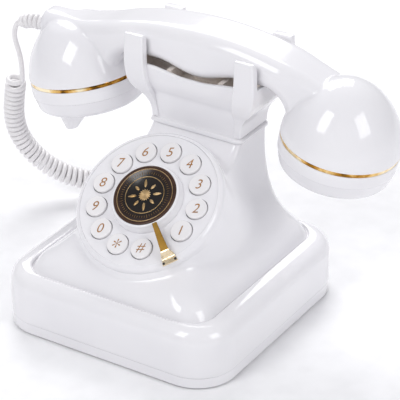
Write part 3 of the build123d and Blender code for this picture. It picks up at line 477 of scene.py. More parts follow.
def addBase():
    # rows of rounded rectangles from the seam up over the skirt, the groove and the tower to the neck; where the
    # dial's drum reaches further from the heart of the base than the tower does, the points move out to it
    w, d, c = base["halfWidth"], base["halfDepth"], base["corner"]
    rows = []
    for a in np.radians(np.linspace(0, 90, 4)):
        inset = base["edge"] * (1 - math.sin(a))
        rows.append((w - inset, -d + inset, d - inset, c - inset, base["seam"] + base["edge"] * (1 - math.cos(a))))
    low, high = base["jackHeight"] - base["jackHalf"], base["jackHeight"] + base["jackHalf"]
    for z in (9.2, low, 13.7, 17.0, 20.3, high, 25.2):
        rows.append((w, -d, d, c, z))
    r = base["skirtRound"]
    for a in np.radians(np.linspace(0, 76, 14)):
        inset = r * (1 - math.cos(a))
        rows.append((w - inset, -d + inset, d - inset, c - inset, base["skirtTop"] - r + r * math.sin(a)))
    lx, front, back, lc = base["ledge"]
    g, top = base["grooveWidth"], base["skirtTop"]
    for out, z in ((2.2, top - 0.05), (g + 0.25, top - 0.1), (g, top - 0.35), (g - 0.1, top - 1.4),
                   (g - 0.4, top - base["grooveDepth"]), (0.35, top - base["grooveDepth"]), (0.05, top - 1.7)):
        rows.append((lx + out, front - out, back + out, lc + out, z))
    heights = np.concatenate([np.linspace(35.1, 52, 24), np.linspace(52.7, 99, 72)])
    tower = np.column_stack([hermite(heights, towerHeights, towerHalfWidth),
                             hermite(heights, towerFrontHeights, towerFront),
                             hermite(heights, towerBackHeights, towerBack),
                             hermite(heights, (35, 46, 60, 80, 99), (15, 13.5, 9.5, 6.0, 4.0)), heights])
    rows = np.vstack([rows, tower])
    outerRows = len(rows) + 1
    for inset, z in ((2.6, 99.0), (2.7, 84.0), (13.0, 84.0)):               # the neck is open at the top
        rows = np.vstack([rows, [towerHalfWidth[-1] - inset, towerFront[-1] + inset, towerBack[-1] - inset, 1.0, z]])
    x, y0, y1 = rows[:, 0], rows[:, 1], rows[:, 2]
    corners = np.stack([np.stack([x, y0], 1), np.stack([x, y1], 1), np.stack([-x, y1], 1), np.stack([-x, y0], 1)], 1)
    sideStops = np.linspace(0, 1, 58)[1:-1]
    rearEdge = w - c                                       # the rear's straight run, where the sockets are
    cuts = sorted([p + s * base["jackHalf"] for p in base["jacks"] for s in (-1, 1)])
    rearX = np.concatenate([np.linspace(rearEdge, cuts[3], 7), np.linspace(cuts[3], cuts[2], 9)[1:],
                            np.linspace(cuts[2], cuts[1], 12)[1:], np.linspace(cuts[1], cuts[0], 9)[1:],
                            np.linspace(cuts[0], -rearEdge, 12)[1:]])
    rearStops = ((rearEdge - rearX) / (2 * rearEdge))[1:-1]
    radii = np.repeat(rows[:, 3:4], 4, axis=1)
    outline = roundedOutline(corners, radii, 16, [sideStops, rearStops, sideStops, sideStops])
    count = outline.shape[1]
    points = np.concatenate([outline, np.repeat(rows[:, 4][:, None, None], count, axis=1)], axis=2)
    points = np.concatenate([points[:1] * (0.35, 0.35, 1), points])          # the flat underside
    heart = np.array(base["heart"])
    reach = np.linalg.norm(points - heart, axis=2)
    rays = (points - heart) / reach[..., None]

    def fromAxis(p):
        # distance from the dial's axis
        return np.linalg.norm((p - dialFrame[0]) @ np.stack([dialFrame[1], dialFrame[2]], 1), axis=-1)

    def drum(p):
        # a round bar along the dial's axis with a rounded edge, flat below the plate
        lift = (p - dialFrame[0]) @ dialFrame[3]
        return roundBoth(fromAxis(p) - dial["rimRadius"], lift + dial["floor"], dial["rimRound"])

    drumReach = pushOut(np.broadcast_to(heart, points.shape), rays, drum, 140)
    near = np.maximum(base["blend"] - abs(reach - drumReach), 0) / base["blend"]
    isOuter = (points[..., 2] > 37) & (np.arange(len(points)) < outerRows)[:, None]
    drumReach = np.where(isOuter, drumReach, 0)
    # the fillet fades out on the drum's flat top, where the pressed keys come down
    beside = ease((fromAxis(heart + rays * drumReach[..., None]) - dial["rimRadius"] + 6) / 4)
    joined = np.maximum(reach, drumReach) + np.where(drumReach > 0, near**2 * base["blend"] / 4 * beside, 0)
    points = heart + rays * joined[..., None]
    faces = gridFaces(len(points), count)
    # two square pockets for the sockets, sunk into the rear
    middle = points.reshape(-1, 3)[faces].mean(1)
    sunk = np.zeros(len(faces), bool)
    for p in base["jacks"]:
        sunk |= ((abs(middle[:, 0] - p) < base["jackHalf"]) & (middle[:, 1] > d - 0.5)
                 & (abs(middle[:, 2] - base["jackHeight"]) < base["jackHalf"]))
    flat = points.reshape(-1, 3)
    pocket = np.unique(faces[sunk])
    copyOf = {int(v): len(flat) + i for i, v in enumerate(pocket)}
    flat = np.vstack([flat, flat[pocket] - (0, base["jackDepth"], 0)])
    edges = {}
    for f in faces[sunk]:
        for a, b in zip(f, np.roll(f, -1)):
            edges[(int(a), int(b))] = True
    walls = [(a, b, copyOf[b], copyOf[a]) for a, b in edges if (b, a) not in edges]
    bottoms = [[copyOf[int(v)] for v in f] for f in faces[sunk]]
    outer = faces[~sunk].tolist()
    gridCount = len(points.reshape(-1, 3))
    poles = np.vstack([flat, [points[0].mean(0), points[-1].mean(0)]])
    first, last = np.arange(count), np.arange(gridCount - count, gridCount)
    caps = [(int(b), int(a), len(flat)) for a, b in zip(first, np.roll(first, -1))]
    caps += [(int(a), int(b), len(flat) + 1) for a, b in zip(last, np.roll(last, -1))]
    addPiece("base_shell", poles, outer + walls + bottoms + caps, whiteAbs, "base",
             ("body_shell",), 50)


addBase()


def addDial():
    # the rim round the plate: up beside it, over a rounded shoulder and straight down over the drum's side
    r, top, radius = dial["rimRound"], dial["rimLift"], dial["rimRadius"]
    centre = (radius - r, top - r)
    inner = dial["plateRadius"] + 0.08
    startAngle = math.degrees(math.acos((inner + 0.25 - centre[0]) / r))
    shoulder = arc(centre, r + 0.05, startAngle, 0, 18)
    under = arc(centre, r - 0.9, 0, startAngle + 8, 8)
    profile = [(inner, -3.0), (inner, shoulder[0][1] - 0.25)] + shoulder + [(radius + 0.05, -dial["rimFoot"])]
    profile += [(radius - 0.9, -dial["rimFoot"])] + under + [(inner, -3.0)]
    turned("dial_rim", profile, dialFrame, whiteAbs, "base", sharp=40, steps=192)


keyFacts = {"circle": 30.5, "radius": 6.15, "proud": 1.6, "edge": 0.55, "dish": 0.22, "first": -22.8,
            "pitch": 28.5, "digitSize": 8.2, "slant": 0.22, "turn": 17.0}
keyMarks = (("1", "1"), ("2", "2"), ("3", "3"), ("4", "4"), ("5", "5"), ("6", "6"), ("7", "7"), ("8", "8"),
            ("9", "9"), ("0", "0"), ("star", "*"), ("hash", "#"))


def addKeys():
    # each key is a turned cap with a shallow dish, and its mark is stamped foil just above the dish
    k = keyFacts
    edge, top, radius = k["edge"], k["proud"], k["radius"]
    dish = [(t * (radius - edge), top - k["dish"] * (1 - t * t) * 0.9) for t in np.linspace(0.06, 0.9, 9)]
    profile = [(0.05, top - k["dish"] * 0.9)] + dish + arc((radius - edge, top - edge), edge, 88, 0, 7)
    profile += [(radius, -2.2), (radius - 0.4, -2.4)]
    profile = profile[::-1]
    for i, (keyName, mark) in enumerate(keyMarks):
        angle = math.radians(k["first"] + k["pitch"] * i)
        middle = dialFrame[0] + k["circle"] * (math.cos(angle) * dialFrame[1] + math.sin(angle) * dialFrame[2])
        body = "key_" + keyName
        turned(body + "_cap", profile, (middle, *dialFrame[1:]), keyAbs, body, (body,), 48)
        font = bpy.data.curves.new("mark", "FONT")
        font.body = mark
        font.align_x, font.align_y = "CENTER", "CENTER"
        font.size = k["digitSize"] * (1.5 if mark == "*" else 1.0)
        font.shear = k["slant"]
        font.offset = -0.05
        font.extrude = 0.03
        holder = bpy.data.objects.new("mark", font)
        mesh = bpy.data.meshes.new_from_object(holder)
        flat = np.array([v.co for v in mesh.vertices])
        flat[:, :2] -= (flat[:, :2].min(0) + flat[:, :2].max(0)) / 2
        turn = math.radians(k["turn"])
        flat[:, :2] = flat[:, :2] @ np.array([[math.cos(turn), math.sin(turn)], [-math.sin(turn), math.cos(turn)]])
        lift = top - k["dish"] * 0.9 * (1 - (np.hypot(flat[:, 0], flat[:, 1]) / radius)**2) + 0.05
        places = (middle + flat[:, :1] * dialFrame[1] + flat[:, 1:2] * dialFrame[2]
                  + (flat[:, 2:] + lift[:, None]) * dialFrame[3])
        mesh.vertices.foreach_set("co", (places * mm).astype(np.float32).ravel())
        mesh.update()
        mesh.materials.clear()
        mesh.materials.append(goldPrint)
        piece = bpy.data.objects.new(body + "_mark", mesh)
        scene.collection.objects.link(piece)
        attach(piece, body)
        bpy.data.objects.remove(holder)
        bpy.data.curves.remove(font)


hub = {"radius": 21.0, "lift": 5.6, "seat": 18.5, "medallion": 18.4, "petals": 16, "ticks": 60,
       "leafReach": (10.2, 8.6)}


def addHub():
    # the white hub, and a black disc with raised gold lines, a ring of ticks and a plain rosette
    h = hub
    outer = [(0.5, -0.3), (h["radius"], -0.3), (h["radius"], 1.0)]
    shoulder = [(h["radius"] - 0.15 * i - 0.02 * i * i, 1.0 + 0.62 * i) for i in range(1, 6)]
    top = arc((h["radius"] - 2.2, h["lift"] - 1.1), 1.1, 20, 90, 6)
    seat = [(h["seat"] + 0.15, h["lift"]), (h["seat"], h["lift"] - 0.15), (h["seat"], h["lift"] - 1.0),
            (0.5, h["lift"] - 1.0)]
    turned("hub", outer + shoulder + top + seat, dialFrame, whiteAbs, "base", ("hub_ring",), 160)
    face = h["lift"] + 0.35
    disc = [(0.1, face - 1.4), (h["medallion"], face - 1.4), (h["medallion"], face - 0.4)]
    disc += arc((h["medallion"] - 0.5, face - 0.5), 0.5, 10, 90, 5)
    disc += [(16.2, face), (15.9, face - 0.15), (0.1, face - 0.15)]
    turned("medallion_disc", disc, dialFrame, lacquerPaintedSheen, "base", ("medallion",), 160)
    for name, radius, width in (("outer", 16.3, 0.44), ("inner", 11.4, 0.42)):
        line = arc((radius, face - 0.12), width / 2, 0, 360, 11)
        line[-1] = line[0]
        turned(f"medallion_{name}_line", line, dialFrame, goldLine, "base", steps=128, sharp=80)

    def place(flat, lift):
        # points of the face's plane, in mm, lifted off it
        return (dialFrame[0] + flat[..., :1] * dialFrame[1] + flat[..., 1:] * dialFrame[2]
                + (face + lift)[..., None] * dialFrame[3])

    # ticks between the two lines, long ones at every fifth place
    around = (np.arange(h["ticks"]) + 0.5) * 2 * np.pi / h["ticks"]
    length = np.where(np.arange(h["ticks"]) % 5 == 0, 0.95, 0.55)
    corner = np.array([(-1, -1), (-1, 1), (1, 1), (1, -1)])
    out = 13.7 + corner[None, :, 0] * length[:, None]
    side = np.broadcast_to(corner[None, :, 1] * 0.14, out.shape)
    flat = np.stack([out * np.cos(around)[:, None] - side * np.sin(around)[:, None],
                     out * np.sin(around)[:, None] + side * np.cos(around)[:, None]], -1)
    bars = np.concatenate([place(flat, np.full(flat.shape[:2], -0.2)), place(flat, np.full(flat.shape[:2], 0.0))], 1)
    start = np.arange(h["ticks"])[:, None, None] * 8
    box = np.array([(0, 1, 2, 3), (7, 6, 5, 4), (0, 4, 5, 1), (1, 5, 6, 2), (2, 6, 7, 3), (3, 7, 4, 0)])
    addPiece("medallion_ticks", bars, (start + box[None]).reshape(-1, 4), bronzeLine, "base")
    # a rosette of petals in the middle and eight leaves round it: each leaf is a grid whose width swells and ends
    # in a point, and whose height is highest along its middle
    share = np.linspace(0.03, 1, 14)[:, None]
    angle = np.linspace(0, 2 * np.pi, 160, endpoint=False)[None]
    wave = 0.5 + 0.5 * np.cos(h["petals"] * angle)
    radius = share * (2.9 + 0.8 * wave)
    lift = -0.2 + 0.55 * np.sqrt(np.maximum(1 - share**2, 0)) * (0.5 + 0.5 * wave * share)
    flat = np.stack([radius * np.cos(angle), radius * np.sin(angle)], -1)
    addPiece("medallion_rosette", place(flat, lift * np.ones_like(radius)), gridFaces(14, 160), goldLine, "base",
             sharp=60, closeEnds=True, columns=160)
    for i in range(8):
        turn = math.radians(45 * i + 22.5)
        reach = h["leafReach"][i % 2]
        out = np.linspace(0.02, 0.98, 22)[:, None]
        across = np.linspace(0, 2 * np.pi, 16, endpoint=False)[None]
        half = 0.85 * np.sin(np.pi * out**0.8)**0.8 + 0.02
        x, y = 4.7 + (reach - 4.7) * out + 0 * across, half * np.cos(across)
        rise = -0.25 + 0.5 * half * np.maximum(np.sin(across), -0.3)
        flat = np.stack([x * math.cos(turn) - y * math.sin(turn), x * math.sin(turn) + y * math.cos(turn)], -1)
        addPiece("medallion_leaf_" + str(i), place(flat, rise), gridFaces(22, 16), goldLine, "base",
                 sharp=70, closeEnds=True, columns=16)


fingerStop = {"angle": 315.0, "thick": 0.9, "edge": 0.16,
              # distance out from the dial's middle, lift off the plate, half width
              "line": ((20.3, 7.4, 1.35), (30.0, 6.45, 1.8), (38.3, 5.6, 2.3), (38.9, 5.4, 2.5), (39.3, 4.9, 2.8),
                       (40.2, 2.7, 3.6), (40.6, 2.0, 3.8), (41.2, 1.76, 3.95), (44.6, 1.76, 4.5)),
              "steps": (30, 26, 4, 4, 10, 4, 4, 14), "screws": ((43.5, -3.5), (43.5, 3.5)), "screwRadius": 0.75}


def addFingerStop():
    # a flat strip carried along its bent line: wide foot on the rim, a bend and a narrow tip over the hub; the bend
    # and foot are paler gold, painted reflection, and the rest darker gold, painted shade
    f = fingerStop
    turn = math.radians(f["angle"])
    out = math.cos(turn) * dialFrame[1] + math.sin(turn) * dialFrame[2]
    side = np.cross(dialFrame[3], out)
    at = np.concatenate([i + np.arange(n) / n for i, n in enumerate(f["steps"])] + [[len(f["steps"])]])
    line = np.column_stack([np.interp(at, np.arange(len(f["line"])), np.array(f["line"])[:, k]) for k in range(3)])
    ahead = np.gradient(line[:, :2], axis=0)
    ahead /= np.linalg.norm(ahead, axis=1, keepdims=True)
    normal = np.column_stack([-ahead[:, 1], ahead[:, 0]])
    e, t = f["edge"], f["thick"]
    section = np.array([(-1, 0, e), (1, 0, -e), (1, -e, 0), (1, e - t, 0), (1, -t, -e), (-1, -t, e), (-1, e - t, 0),
                        (-1, -e, 0)])
    wide = section[None, :, 0] * line[:, 2:3] + section[None, :, 2]
    deep = section[None, :, 1]
    flat = line[:, None, :2] + normal[:, None] * deep[..., None]
    points = dialFrame[0] + flat[..., :1] * out + flat[..., 1:] * dialFrame[3] + wide[..., None] * side
    strip = addPiece("finger_strip", points, gridFaces(len(line), 8), goldStripPaintedShade, "base",
                     ("finger_stop",), 30, True, 8)
    strip.data.materials.append(goldFootPaintedReflection)
    # the bend and the foot take the pale gold, painted reflection; the rest keeps the darker gold, painted shade
    rows = np.array([min(p.vertices) for p in strip.data.polygons]) // 8
    ends = np.array([max(p.vertices) for p in strip.data.polygons])
    strip.data.polygons.foreach_set("material_index", ((rows >= sum(f["steps"][:2])) | (ends == len(points) * 8 + 1))
                                    .astype(np.int32))
    r = f["screwRadius"]
    head = [(0.02, -0.6), (r, -0.6), (r, 0.1)] + arc((0, -0.35), 0.88, 30, 88, 7)
    for i, (reach, aside) in enumerate(f["screws"]):
        place = (dialFrame[0] + reach * out + aside * side + 1.76 * dialFrame[3], *dialFrame[1:])
        turned("stop_screw_" + str(i + 1), head, place, darkAbs, "base", ("stop_screws",), 20)


addDial()
addKeys()
addHub()
addFingerStop()
print("dial made")


cradle = {"middle": 40.8, "neck": (29.5, 15.2), "head": (42.2, 23.2), "inner": (28.9, 29.8), "bead": 1.2,
          "wallStart": 103.4, "recess": (0.9, 3.9), "edge": 136.0, "dip": 2.8, "floor": 127.0, "wall": 2.5,
          "prongTop": (154.4, 155.6), "edgeRound": 0.7, "sideRise": 1.9}
flareHeights = (99, 106, 111, 116, 121, 126, 130, 156)
flareShares = (0, 0, 0.09, 0.34, 0.72, 0.94, 1.0, 1.0)


def flare(z):
    # half sizes of the head at a height: outer x, the prongs' face and the panel between them
    share = hermite(z, flareHeights, flareShares)
    c = cradle
    outX = c["neck"][0] + (c["head"][0] - c["neck"][0]) * share
    faceY = c["neck"][1] + (c["head"][1] - c["neck"][1]) * share
    return share, outX, faceY, faceY - c["recess"][0] - (c["recess"][1] - c["recess"][0]) * ease(share * 1.6)


def saddle(x):
    # height of the wall's edge between the prongs: it dips in the middle
    c = cradle
    dip = c["dip"] * ease(1.18 - abs(x) / (c["inner"][1] * 0.86)) * (abs(x) < c["inner"][1])
    return c["edge"] - dip + c["sideRise"] * ease((abs(x) - 33) / 5)


def addCradle():
    # the column: a bead, the flared wall up to the dipped edge, over it and down inside to the floor
    c = cradle
    # (inset from the wall, height or share of the wall, what the height means); it is hollow from below
    rows = [(12.0, 123.0, 0), (3.2, 122.8, 0), (3.0, 110.0, 0), (3.0, 99.0, 0)]
    for a in np.radians(np.linspace(-90, 90, 11)):
        rows.append((0.35 - (c["bead"] + 0.35) * math.cos(a), 100.6 + 1.6 * math.sin(a), 0))
    rows += [(0.12, 102.5, 0), (0.02, 102.9, 0), (0.0, 103.4, 0)]
    heights = np.linspace(0, 1, 44)[1:]
    rows += [(0.0, share, 1) for share in heights]
    e = c["edgeRound"]
    rows += [(e * (1 - math.cos(a)), e * math.sin(a), 2) for a in np.radians(np.linspace(15, 90, 6))]
    rows += [(c["wall"] - e + e * math.sin(a), e * math.cos(a), 2) for a in np.radians(np.linspace(0, 90, 7))]
    rows += [(c["wall"], 0.75, 3), (c["wall"], 0.4, 3), (c["wall"], 0.1, 3), (c["wall"] + 0.4, 0.0, 3),
             (c["wall"] + 8, 0.0, 3)]
    rows = np.array(rows)
    stops = np.linspace(0, 1, 46)[1:-1]
    # first the wall's top outline gives each column its x, and so its edge height
    top = np.array([[c["head"][0], c["head"][1] - c["recess"][1]]])
    sign = np.array([(1, -1), (1, 1), (-1, 1), (-1, -1)])
    topLine = roundedOutline(top[:, None] * sign[None], np.full((1, 4), 0.06), 3, [stops] * 4)[0]
    edge = saddle(topLine[:, 0])
    columns = len(topLine)
    lines, levels = [], []
    for inset, value, kind in rows:
        wallTop, wallFoot = edge - c["edgeRound"], {1: c["wallStart"], 3: c["floor"]}.get(kind)
        z = (np.full(columns, value) if kind == 0 else wallTop + value if kind == 2
             else wallFoot + (wallTop - wallFoot) * value)
        outX, faceY, panelY = flare(z)[1:]
        if kind == 0 and value < 104:
            panelY = faceY - c["recess"][0] * ease((z - 101.8) / 1.6)
        half = np.stack([outX - inset, panelY - inset], -1)[:, None] * sign[None]
        corner = 3.2 if kind == 0 and value < 102.6 else 2.0 if kind == 3 else 0.06
        ring = roundedOutline(half, np.full((columns, 4), corner), 3, [stops] * 4)
        own = ring[np.arange(columns), np.arange(columns)]
        lines.append(own)
        levels.append(z)
    points = np.concatenate([np.array(lines), np.array(levels)[..., None]], -1) + (0, c["middle"], 0)
    faces = gridFaces(len(points), columns)
    column = addPiece("cradle_column", points, faces, whiteAbs, "base", ("cradle",), 40, True,
                      columns)
    # the trough inside gets a beige tint, painted warm light
    column.data.materials.append(linerPaintedWarmLight)
    inside = np.zeros(len(column.data.polygons), np.int32)
    firstLiner = (len(rows) - 6) * columns
    lowest = np.array([min(p.vertices) for p in column.data.polygons])
    inside[(lowest >= firstLiner) & (lowest < len(points) * columns)] = 1
    column.data.polygons.foreach_set("material_index", inside)
    for name, flipX, flipY in (("front_right", 1, -1), ("front_left", -1, -1), ("rear_right", 1, 1),
                               ("rear_left", -1, 1)):
        addProng(name, flipX, flipY, c["prongTop"][flipY > 0])


def addProng(name, flipX, flipY, high):
    # a slab on the column's corner, from the bead up beside the handset: each row is a rounded rectangle whose
    # outer sides follow the flare; the front ones are rounded off at the top on the side towards the handset
    c = cradle
    turnIn = np.radians(np.linspace(12, 90, 6))
    heights = np.concatenate([np.linspace(103.0, 132, 40), np.linspace(133, high - 1.0, 30),
                              high - 1.0 + np.sin(turnIn)])
    inset = np.concatenate([np.zeros(70), 0.8 - 0.8 * np.cos(turnIn)])
    outX, faceY, panelY = flare(heights)[1:]
    inX = hermite(heights, (103, 118, 134, 156), (25.0, 27.0, 29.3, 30.0)) + inset
    outX, faceY, backY = outX - inset, faceY - inset, panelY - 0.9 + inset
    fall = np.clip((heights - (high - 5.5)) / 5.5, 0, 1) * (flipY < 0)
    backY = backY + np.maximum(faceY - backY - 1.5, 0) * (1 - np.sqrt(1 - fall**2))
    corners = np.stack([np.stack([inX, backY], 1), np.stack([outX, backY], 1), np.stack([outX, faceY], 1),
                        np.stack([inX, faceY], 1)], 1)
    above = ease((heights - 134) / 3)
    front = np.minimum(0.4 * np.minimum(faceY - backY, outX - inX), 1.3)
    radii = np.stack([0.03 + 0.3 * front * above, 0.03 + 0.5 * front * above, front,
                      0.03 + front * (0.3 + 0.5 * above)], 1)
    flat = roundedOutline(corners, radii, 8, [(0.5,)] * 4) * (flipX, flipY)
    points = np.concatenate([flat, np.repeat(heights[:, None, None], flat.shape[1], 1)], 2) + (0, c["middle"], 0)
    addPiece("prong_" + name, points, gridFaces(len(heights), flat.shape[1]), whiteAbs, "base",
             (), 40, True, flat.shape[1])


addCradle()
print("cradle made")


handset = {"halfWidth": (17.0, 2.0, 4.6), "edgeRound": 8.0, "under": 137.8, "belly": 5.1, "bellyHalf": 27.0,
           "archX": 56.5, "archRound": 14.0, "tail": -110.8, "tailRound": 1.6, "bell": 34.1, "bellHeight": 38.5,
           "crease": 0.6, "pivotIn": 41.5, "spine": 147.4, "middleRows": 30,
           "cup": (85.1, 40.8, 110.8), "splay": 11.4, "rim": 1.1}
crownX = (-116, -105, -95, -85, -70, -50, -25, 0, 25, 50, 70, 88, 100)
crownZ = (145.0, 145.1, 145.3, 146.3, 149.6, 155.0, 159.5, 161.0, 159.5, 155.0, 149.2, 141.5, 134.0)


def cupFrame(side):
    # the cup's axis leans outward at the top
    lean = math.radians(handset["splay"])
    x, y, z = handset["cup"]
    return (np.array([side * x, y, z]), np.array([math.cos(lean), 0, -side * math.sin(lean)]),
            np.array([0, 1.0, 0]), np.array([side * math.sin(lean), 0, math.cos(lean)]))


def bellField(p, side):
    # inside the bell: its radius falls with height as a rounded power curve, straight below the rim
    origin, xAxis, _, zAxis = cupFrame(side)
    height = (p - origin) @ zAxis - handset["rim"]
    out = np.hypot((p - origin) @ xAxis, p[..., 1] - origin[1])
    rise = np.clip(height / (handset["bellHeight"] - handset["rim"]), 0, 3)
    size = ((out / handset["bell"])**1.9 + rise**1.7)**(1 / 1.8)
    return (size - 1) * handset["bell"] * 0.8


def handsetField(p):
    h = handset
    x, y, z = p[..., 0], p[..., 1] - h["cup"][1], p[..., 2]
    crown = (z - hermite(x, crownX, crownZ)) * 0.97
    wide, first, second = h["halfWidth"]            # the grip narrows towards the cups, and more to the tail
    aside = abs(y) - wide + first * ease((abs(x) - 50) / 20) + second * ease((abs(x) - 76) / 26)
    belly = np.where(abs(x) < h["bellyHalf"], h["belly"] * (0.5 + 0.5 * np.cos(np.pi * x / h["bellyHalf"])), 0)
    # the open arch under the grip: a box with rounded upper corners
    r = h["archRound"]
    archX, archZ = abs(x) - h["archX"] + r, z - (h["under"] - belly) + r
    arch = np.minimum(np.maximum(archX, archZ), 0) + np.hypot(np.maximum(archX, 0), np.maximum(archZ, 0)) - r
    grip = roundBoth(roundBoth(crown, aside, h["edgeRound"]), -arch, h["edgeRound"] * 0.9)
    sides = roundBoth(aside, -arch, h["edgeRound"] * 0.9)
    grip = np.maximum(grip, sides)
    grip = roundBoth(grip, h["tail"] - x, h["tailRound"])
    grip = roundBoth(grip, x - 86.0, 4.0)
    left = roundBoth(bellField(p, -1), crown + 0.3, 5.0)
    return roundEither(roundEither(grip, bellField(p, 1), h["crease"]), left, h["crease"])


def addHandset():
    # the shell is a tube from one gold ring over the bell, along the grip and down to the other ring: each row lies
    # in its own plane, which swings round a point in the arch's corner, and its points go out from the row's middle
    h = handset
    origin, xAxis, _, zAxis = cupFrame(1)
    start = origin + zAxis * (h["rim"] + 0.05)
    pivot = start - xAxis * h["pivotIn"]
    swing = np.radians(np.concatenate([np.linspace(-h["splay"], 60, 96), np.linspace(60, 90, 28)[1:]]))
    share = ease((np.degrees(swing) + h["splay"]) / 62)
    reach = h["pivotIn"] + ((h["spine"] - pivot[2]) - h["pivotIn"]) * share
    outward = np.stack([np.cos(swing), np.zeros_like(swing), np.sin(swing)], 1)
    middles = pivot + outward * reach[:, None]
    across = np.linspace(pivot[0], 0, h["middleRows"])[1:]
    level = np.ones_like(across)
    middles = np.concatenate([middles, np.stack([across, level * pivot[1], level * h["spine"]], 1)])
    outward = np.concatenate([outward, np.tile([0, 0, 1.0], (len(across), 1))])
    mirrored = middles[-2::-1] * (-1, 1, 1)
    middles = np.concatenate([middles, mirrored])
    outward = np.concatenate([outward, outward[-2::-1] * (-1, 1, 1)])
    columns = 208
    angle = np.linspace(0, 2 * np.pi, columns, endpoint=False)
    rays = np.cos(angle)[None, :, None] * outward[:, None] + np.sin(angle)[None, :, None] * np.array([0, 1.0, 0])
    origins = np.broadcast_to(middles[:, None], rays.shape)
    points = origins + rays * pushOut(origins, rays, handsetField, 60)[..., None]
    rim = [middles[[0]][:, None] + (points[:1] - middles[[0]][:, None]) * f for f in (0.55, 0.93)]
    far = [middles[[-1]][:, None] + (points[-1:] - middles[[-1]][:, None]) * f for f in (0.93, 0.55)]
    points = np.concatenate(rim + [points] + far)
    addPiece("handset_shell", points, gridFaces(len(points), columns), whiteAbs, "handset",
             ("handset_body",), 50, True, columns)


cups = {"ring": 33.9, "ringHalf": 1.25, "cap": 34.0, "step": -9.0, "lower": 33.2, "depth": 18.4, "bottomRound": 4.2,
        "ringBore": 30.4, "spout": (12.0, 8.0, 13.8, 3.5, 20.3)}


def addCups():
    # gold ring, cap with a stepped wall, and on the mouth side a leaning spout
    c = cups
    for name, side in (("mouthpiece", -1), ("earpiece", 1)):
        place = cupFrame(side)
        half, inner = c["ringHalf"], c["ringBore"]
        outer = arc((c["ring"] - 0.5, half - 0.45), 0.45, 90, 20, 5)
        outer += [(c["ring"] - 0.02, 0.0)]
        outer += arc((c["ring"] - 0.5, 0.45 - half), 0.45, -20, -90, 5)
        turned(name + "_gold_ring", [(inner, half)] + outer + [(inner, -half), (inner, half)], place, goldTrimPaintedReflections,
               "handset", (name + "_ring",), 192, 40)
        wall = [(0.3, -half), (c["cap"] - 0.35, -half)] + arc((c["cap"] - 0.35, -half - 0.35), 0.35, 80, 0, 4)
        wall += [(c["cap"] - 0.05, -5.0), (c["cap"] - 0.25, c["step"] + 0.4)]
        wall += arc((c["cap"] - 0.65, c["step"] + 0.35), 0.4, 0, -80, 4)
        wall += [(c["lower"] + 0.05, c["step"] - 0.12), (c["lower"] - 0.08, c["step"] - 0.6),
                 (c["lower"] - 0.5, c["step"] - 3.5)]
        wall += arc((c["lower"] - 1.1 - c["bottomRound"], c["bottomRound"] - c["depth"]), c["bottomRound"], 0, -90, 9)
        if side == 1:
            # shallow dish for the sound holes
            wall += [(25.0, -c["depth"]), (23.5, 0.5 - c["depth"]), (0.3, 1.1 - c["depth"])]
        else:
            wall += [(0.3, -c["depth"])]
        turned(name + "_cover", wall, place, whiteAbs, "handset", (name + "_cap",), 192, 45)
    origin, xAxis, yAxis, zAxis = cupFrame(-1)
    offset, lean, root, tip, length = c["spout"]
    down = np.concatenate([np.linspace(0, 0.93, 26), 0.93 + 0.07 * np.sin(np.radians(np.linspace(15, 90, 6)))])
    radius = hermite(down, (0, 0.12, 0.3, 0.6, 0.85, 0.93),
                     (root + 1.5, root - 0.9, root - 2.9, root - 6.0, root - 8.9, tip + 0.5))
    radius = np.where(down > 0.93, (tip + 0.5) * np.sqrt(np.clip(1 - ((down - 0.93) / 0.0705)**2, 0.0004, 1)), radius)
    centre = (origin - xAxis * (offset + lean * down)[:, None]
              - zAxis * (c["depth"] - 0.4 + length * down)[:, None])
    angle = np.linspace(0, 2 * np.pi, 96, endpoint=False)
    ring = np.cos(angle)[:, None] * xAxis + np.sin(angle)[:, None] * yAxis
    points = centre[:, None] + radius[:, None, None] * ring
    addPiece("mouthpiece_spout", points, gridFaces(len(down), 96), whiteAbs, "handset", (), 50,
             True, 96)


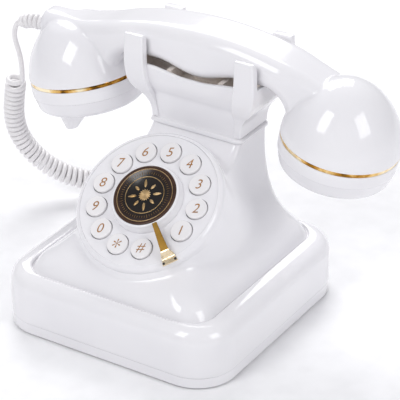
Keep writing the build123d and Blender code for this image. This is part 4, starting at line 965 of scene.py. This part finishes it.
def addSoundHoles():
    # dark pins flush with the earpiece's dish stand in for the sound holes, painted shade of their insides, one
    # turned pin each, in three circles
    origin, xAxis, yAxis, zAxis = cupFrame(1)
    spots = [(radius, 2 * np.pi * i / count) for radius, count in ((6.0, 6), (11.5, 12), (17.0, 18))
             for i in range(count)]
    spots = np.array([(r * math.cos(a), r * math.sin(a)) for r, a in spots] + [(0, 0)])
    angle = np.linspace(0, 2 * np.pi, 14, endpoint=False)
    disc = np.stack([np.cos(angle), np.sin(angle)], -1) * 1.05
    flat = spots[:, None] + disc
    lift = -cups["depth"] + 1.1 - 0.6 * np.hypot(spots[:, 0], spots[:, 1]) / 23.5
    low = (origin + flat[..., :1] * xAxis + flat[..., 1:] * yAxis + (lift - 0.04)[:, None, None] * zAxis)
    high = low + 1.0 * zAxis
    points = np.stack([low, high], 1)
    quads = np.array([(i, (i + 1) % 14, 14 + (i + 1) % 14, 14 + i) for i in range(14)])
    start = np.arange(len(spots))[:, None] * 28
    faces = (start[..., None] + quads[None]).reshape(-1, 4).tolist()
    ends = [s + np.arange(14)[::-1] for s in start[:, 0]] + [s + 14 + np.arange(14) for s in start[:, 0]]
    addPiece("sound_holes", points, faces + ends, darkAbs, "handset", sharp=1)


addHandset()
addCups()
addSoundHoles()
print("handset made")


studio = {"floor": "#fbfbfc", "world": "#f8f8fe", "worldPower": 0.47}
softboxes = (
    # name, place in mm, aim in mm, width, height, watts
    ("front window", (-220, -800, 900), (0, 0, 60), 420, 620, 4.4),
    ("right window", (1000, -170, 720), (20, 0, 70), 460, 620, 3.6),
    ("back window", (-650, 900, 1100), (0, 0, 0), 1000, 900, 13.0),
)


def addStudio():
    mesh = bpy.data.meshes.new("floor")
    mesh.from_pydata([(-6, -6, 0), (6, -6, 0), (6, 6, 0), (-6, 6, 0)], [], [(0, 1, 2, 3)])
    material, tree, shader, coords = startMaterial("Paper sweep")
    fibre = addNode(tree, "ShaderNodeTexNoise", {"Scale": 60, "Detail": 2}, {"Vector": coords.outputs["Object"]})
    tint = rampOver(tree, fibre.outputs["Fac"], [(0.3, "#f5f5f6"), (0.7, studio["floor"])])
    tree.links.new(tint.outputs["Color"], shader.inputs["Base Color"])
    shader.inputs["Roughness"].default_value = 0.7
    shader.inputs["Specular IOR Level"].default_value = 0.2
    mesh.materials.append(material)
    floor = bpy.data.objects.new("floor", mesh)
    scene.collection.objects.link(floor)
    for name, place, aim, width, height, watts in softboxes:
        light = bpy.data.lights.new(name, "AREA")
        light.shape = "RECTANGLE"
        light.size, light.size_y = width * mm, height * mm
        light.energy = watts
        lamp = bpy.data.objects.new(name, light)
        lamp.location = Vector(place) * mm
        lamp.rotation_euler = (Vector(aim) - Vector(place)).to_track_quat("-Z", "Y").to_euler()
        scene.collection.objects.link(lamp)
    world = bpy.data.worlds.new("studio")
    world.use_nodes = True
    background = world.node_tree.nodes["Background"]
    background.inputs["Color"].default_value = hexColour(studio["world"])
    background.inputs["Strength"].default_value = studio["worldPower"]
    scene.world = world
    scene.view_settings.view_transform = "Standard"


addStudio()
print("studio lit")
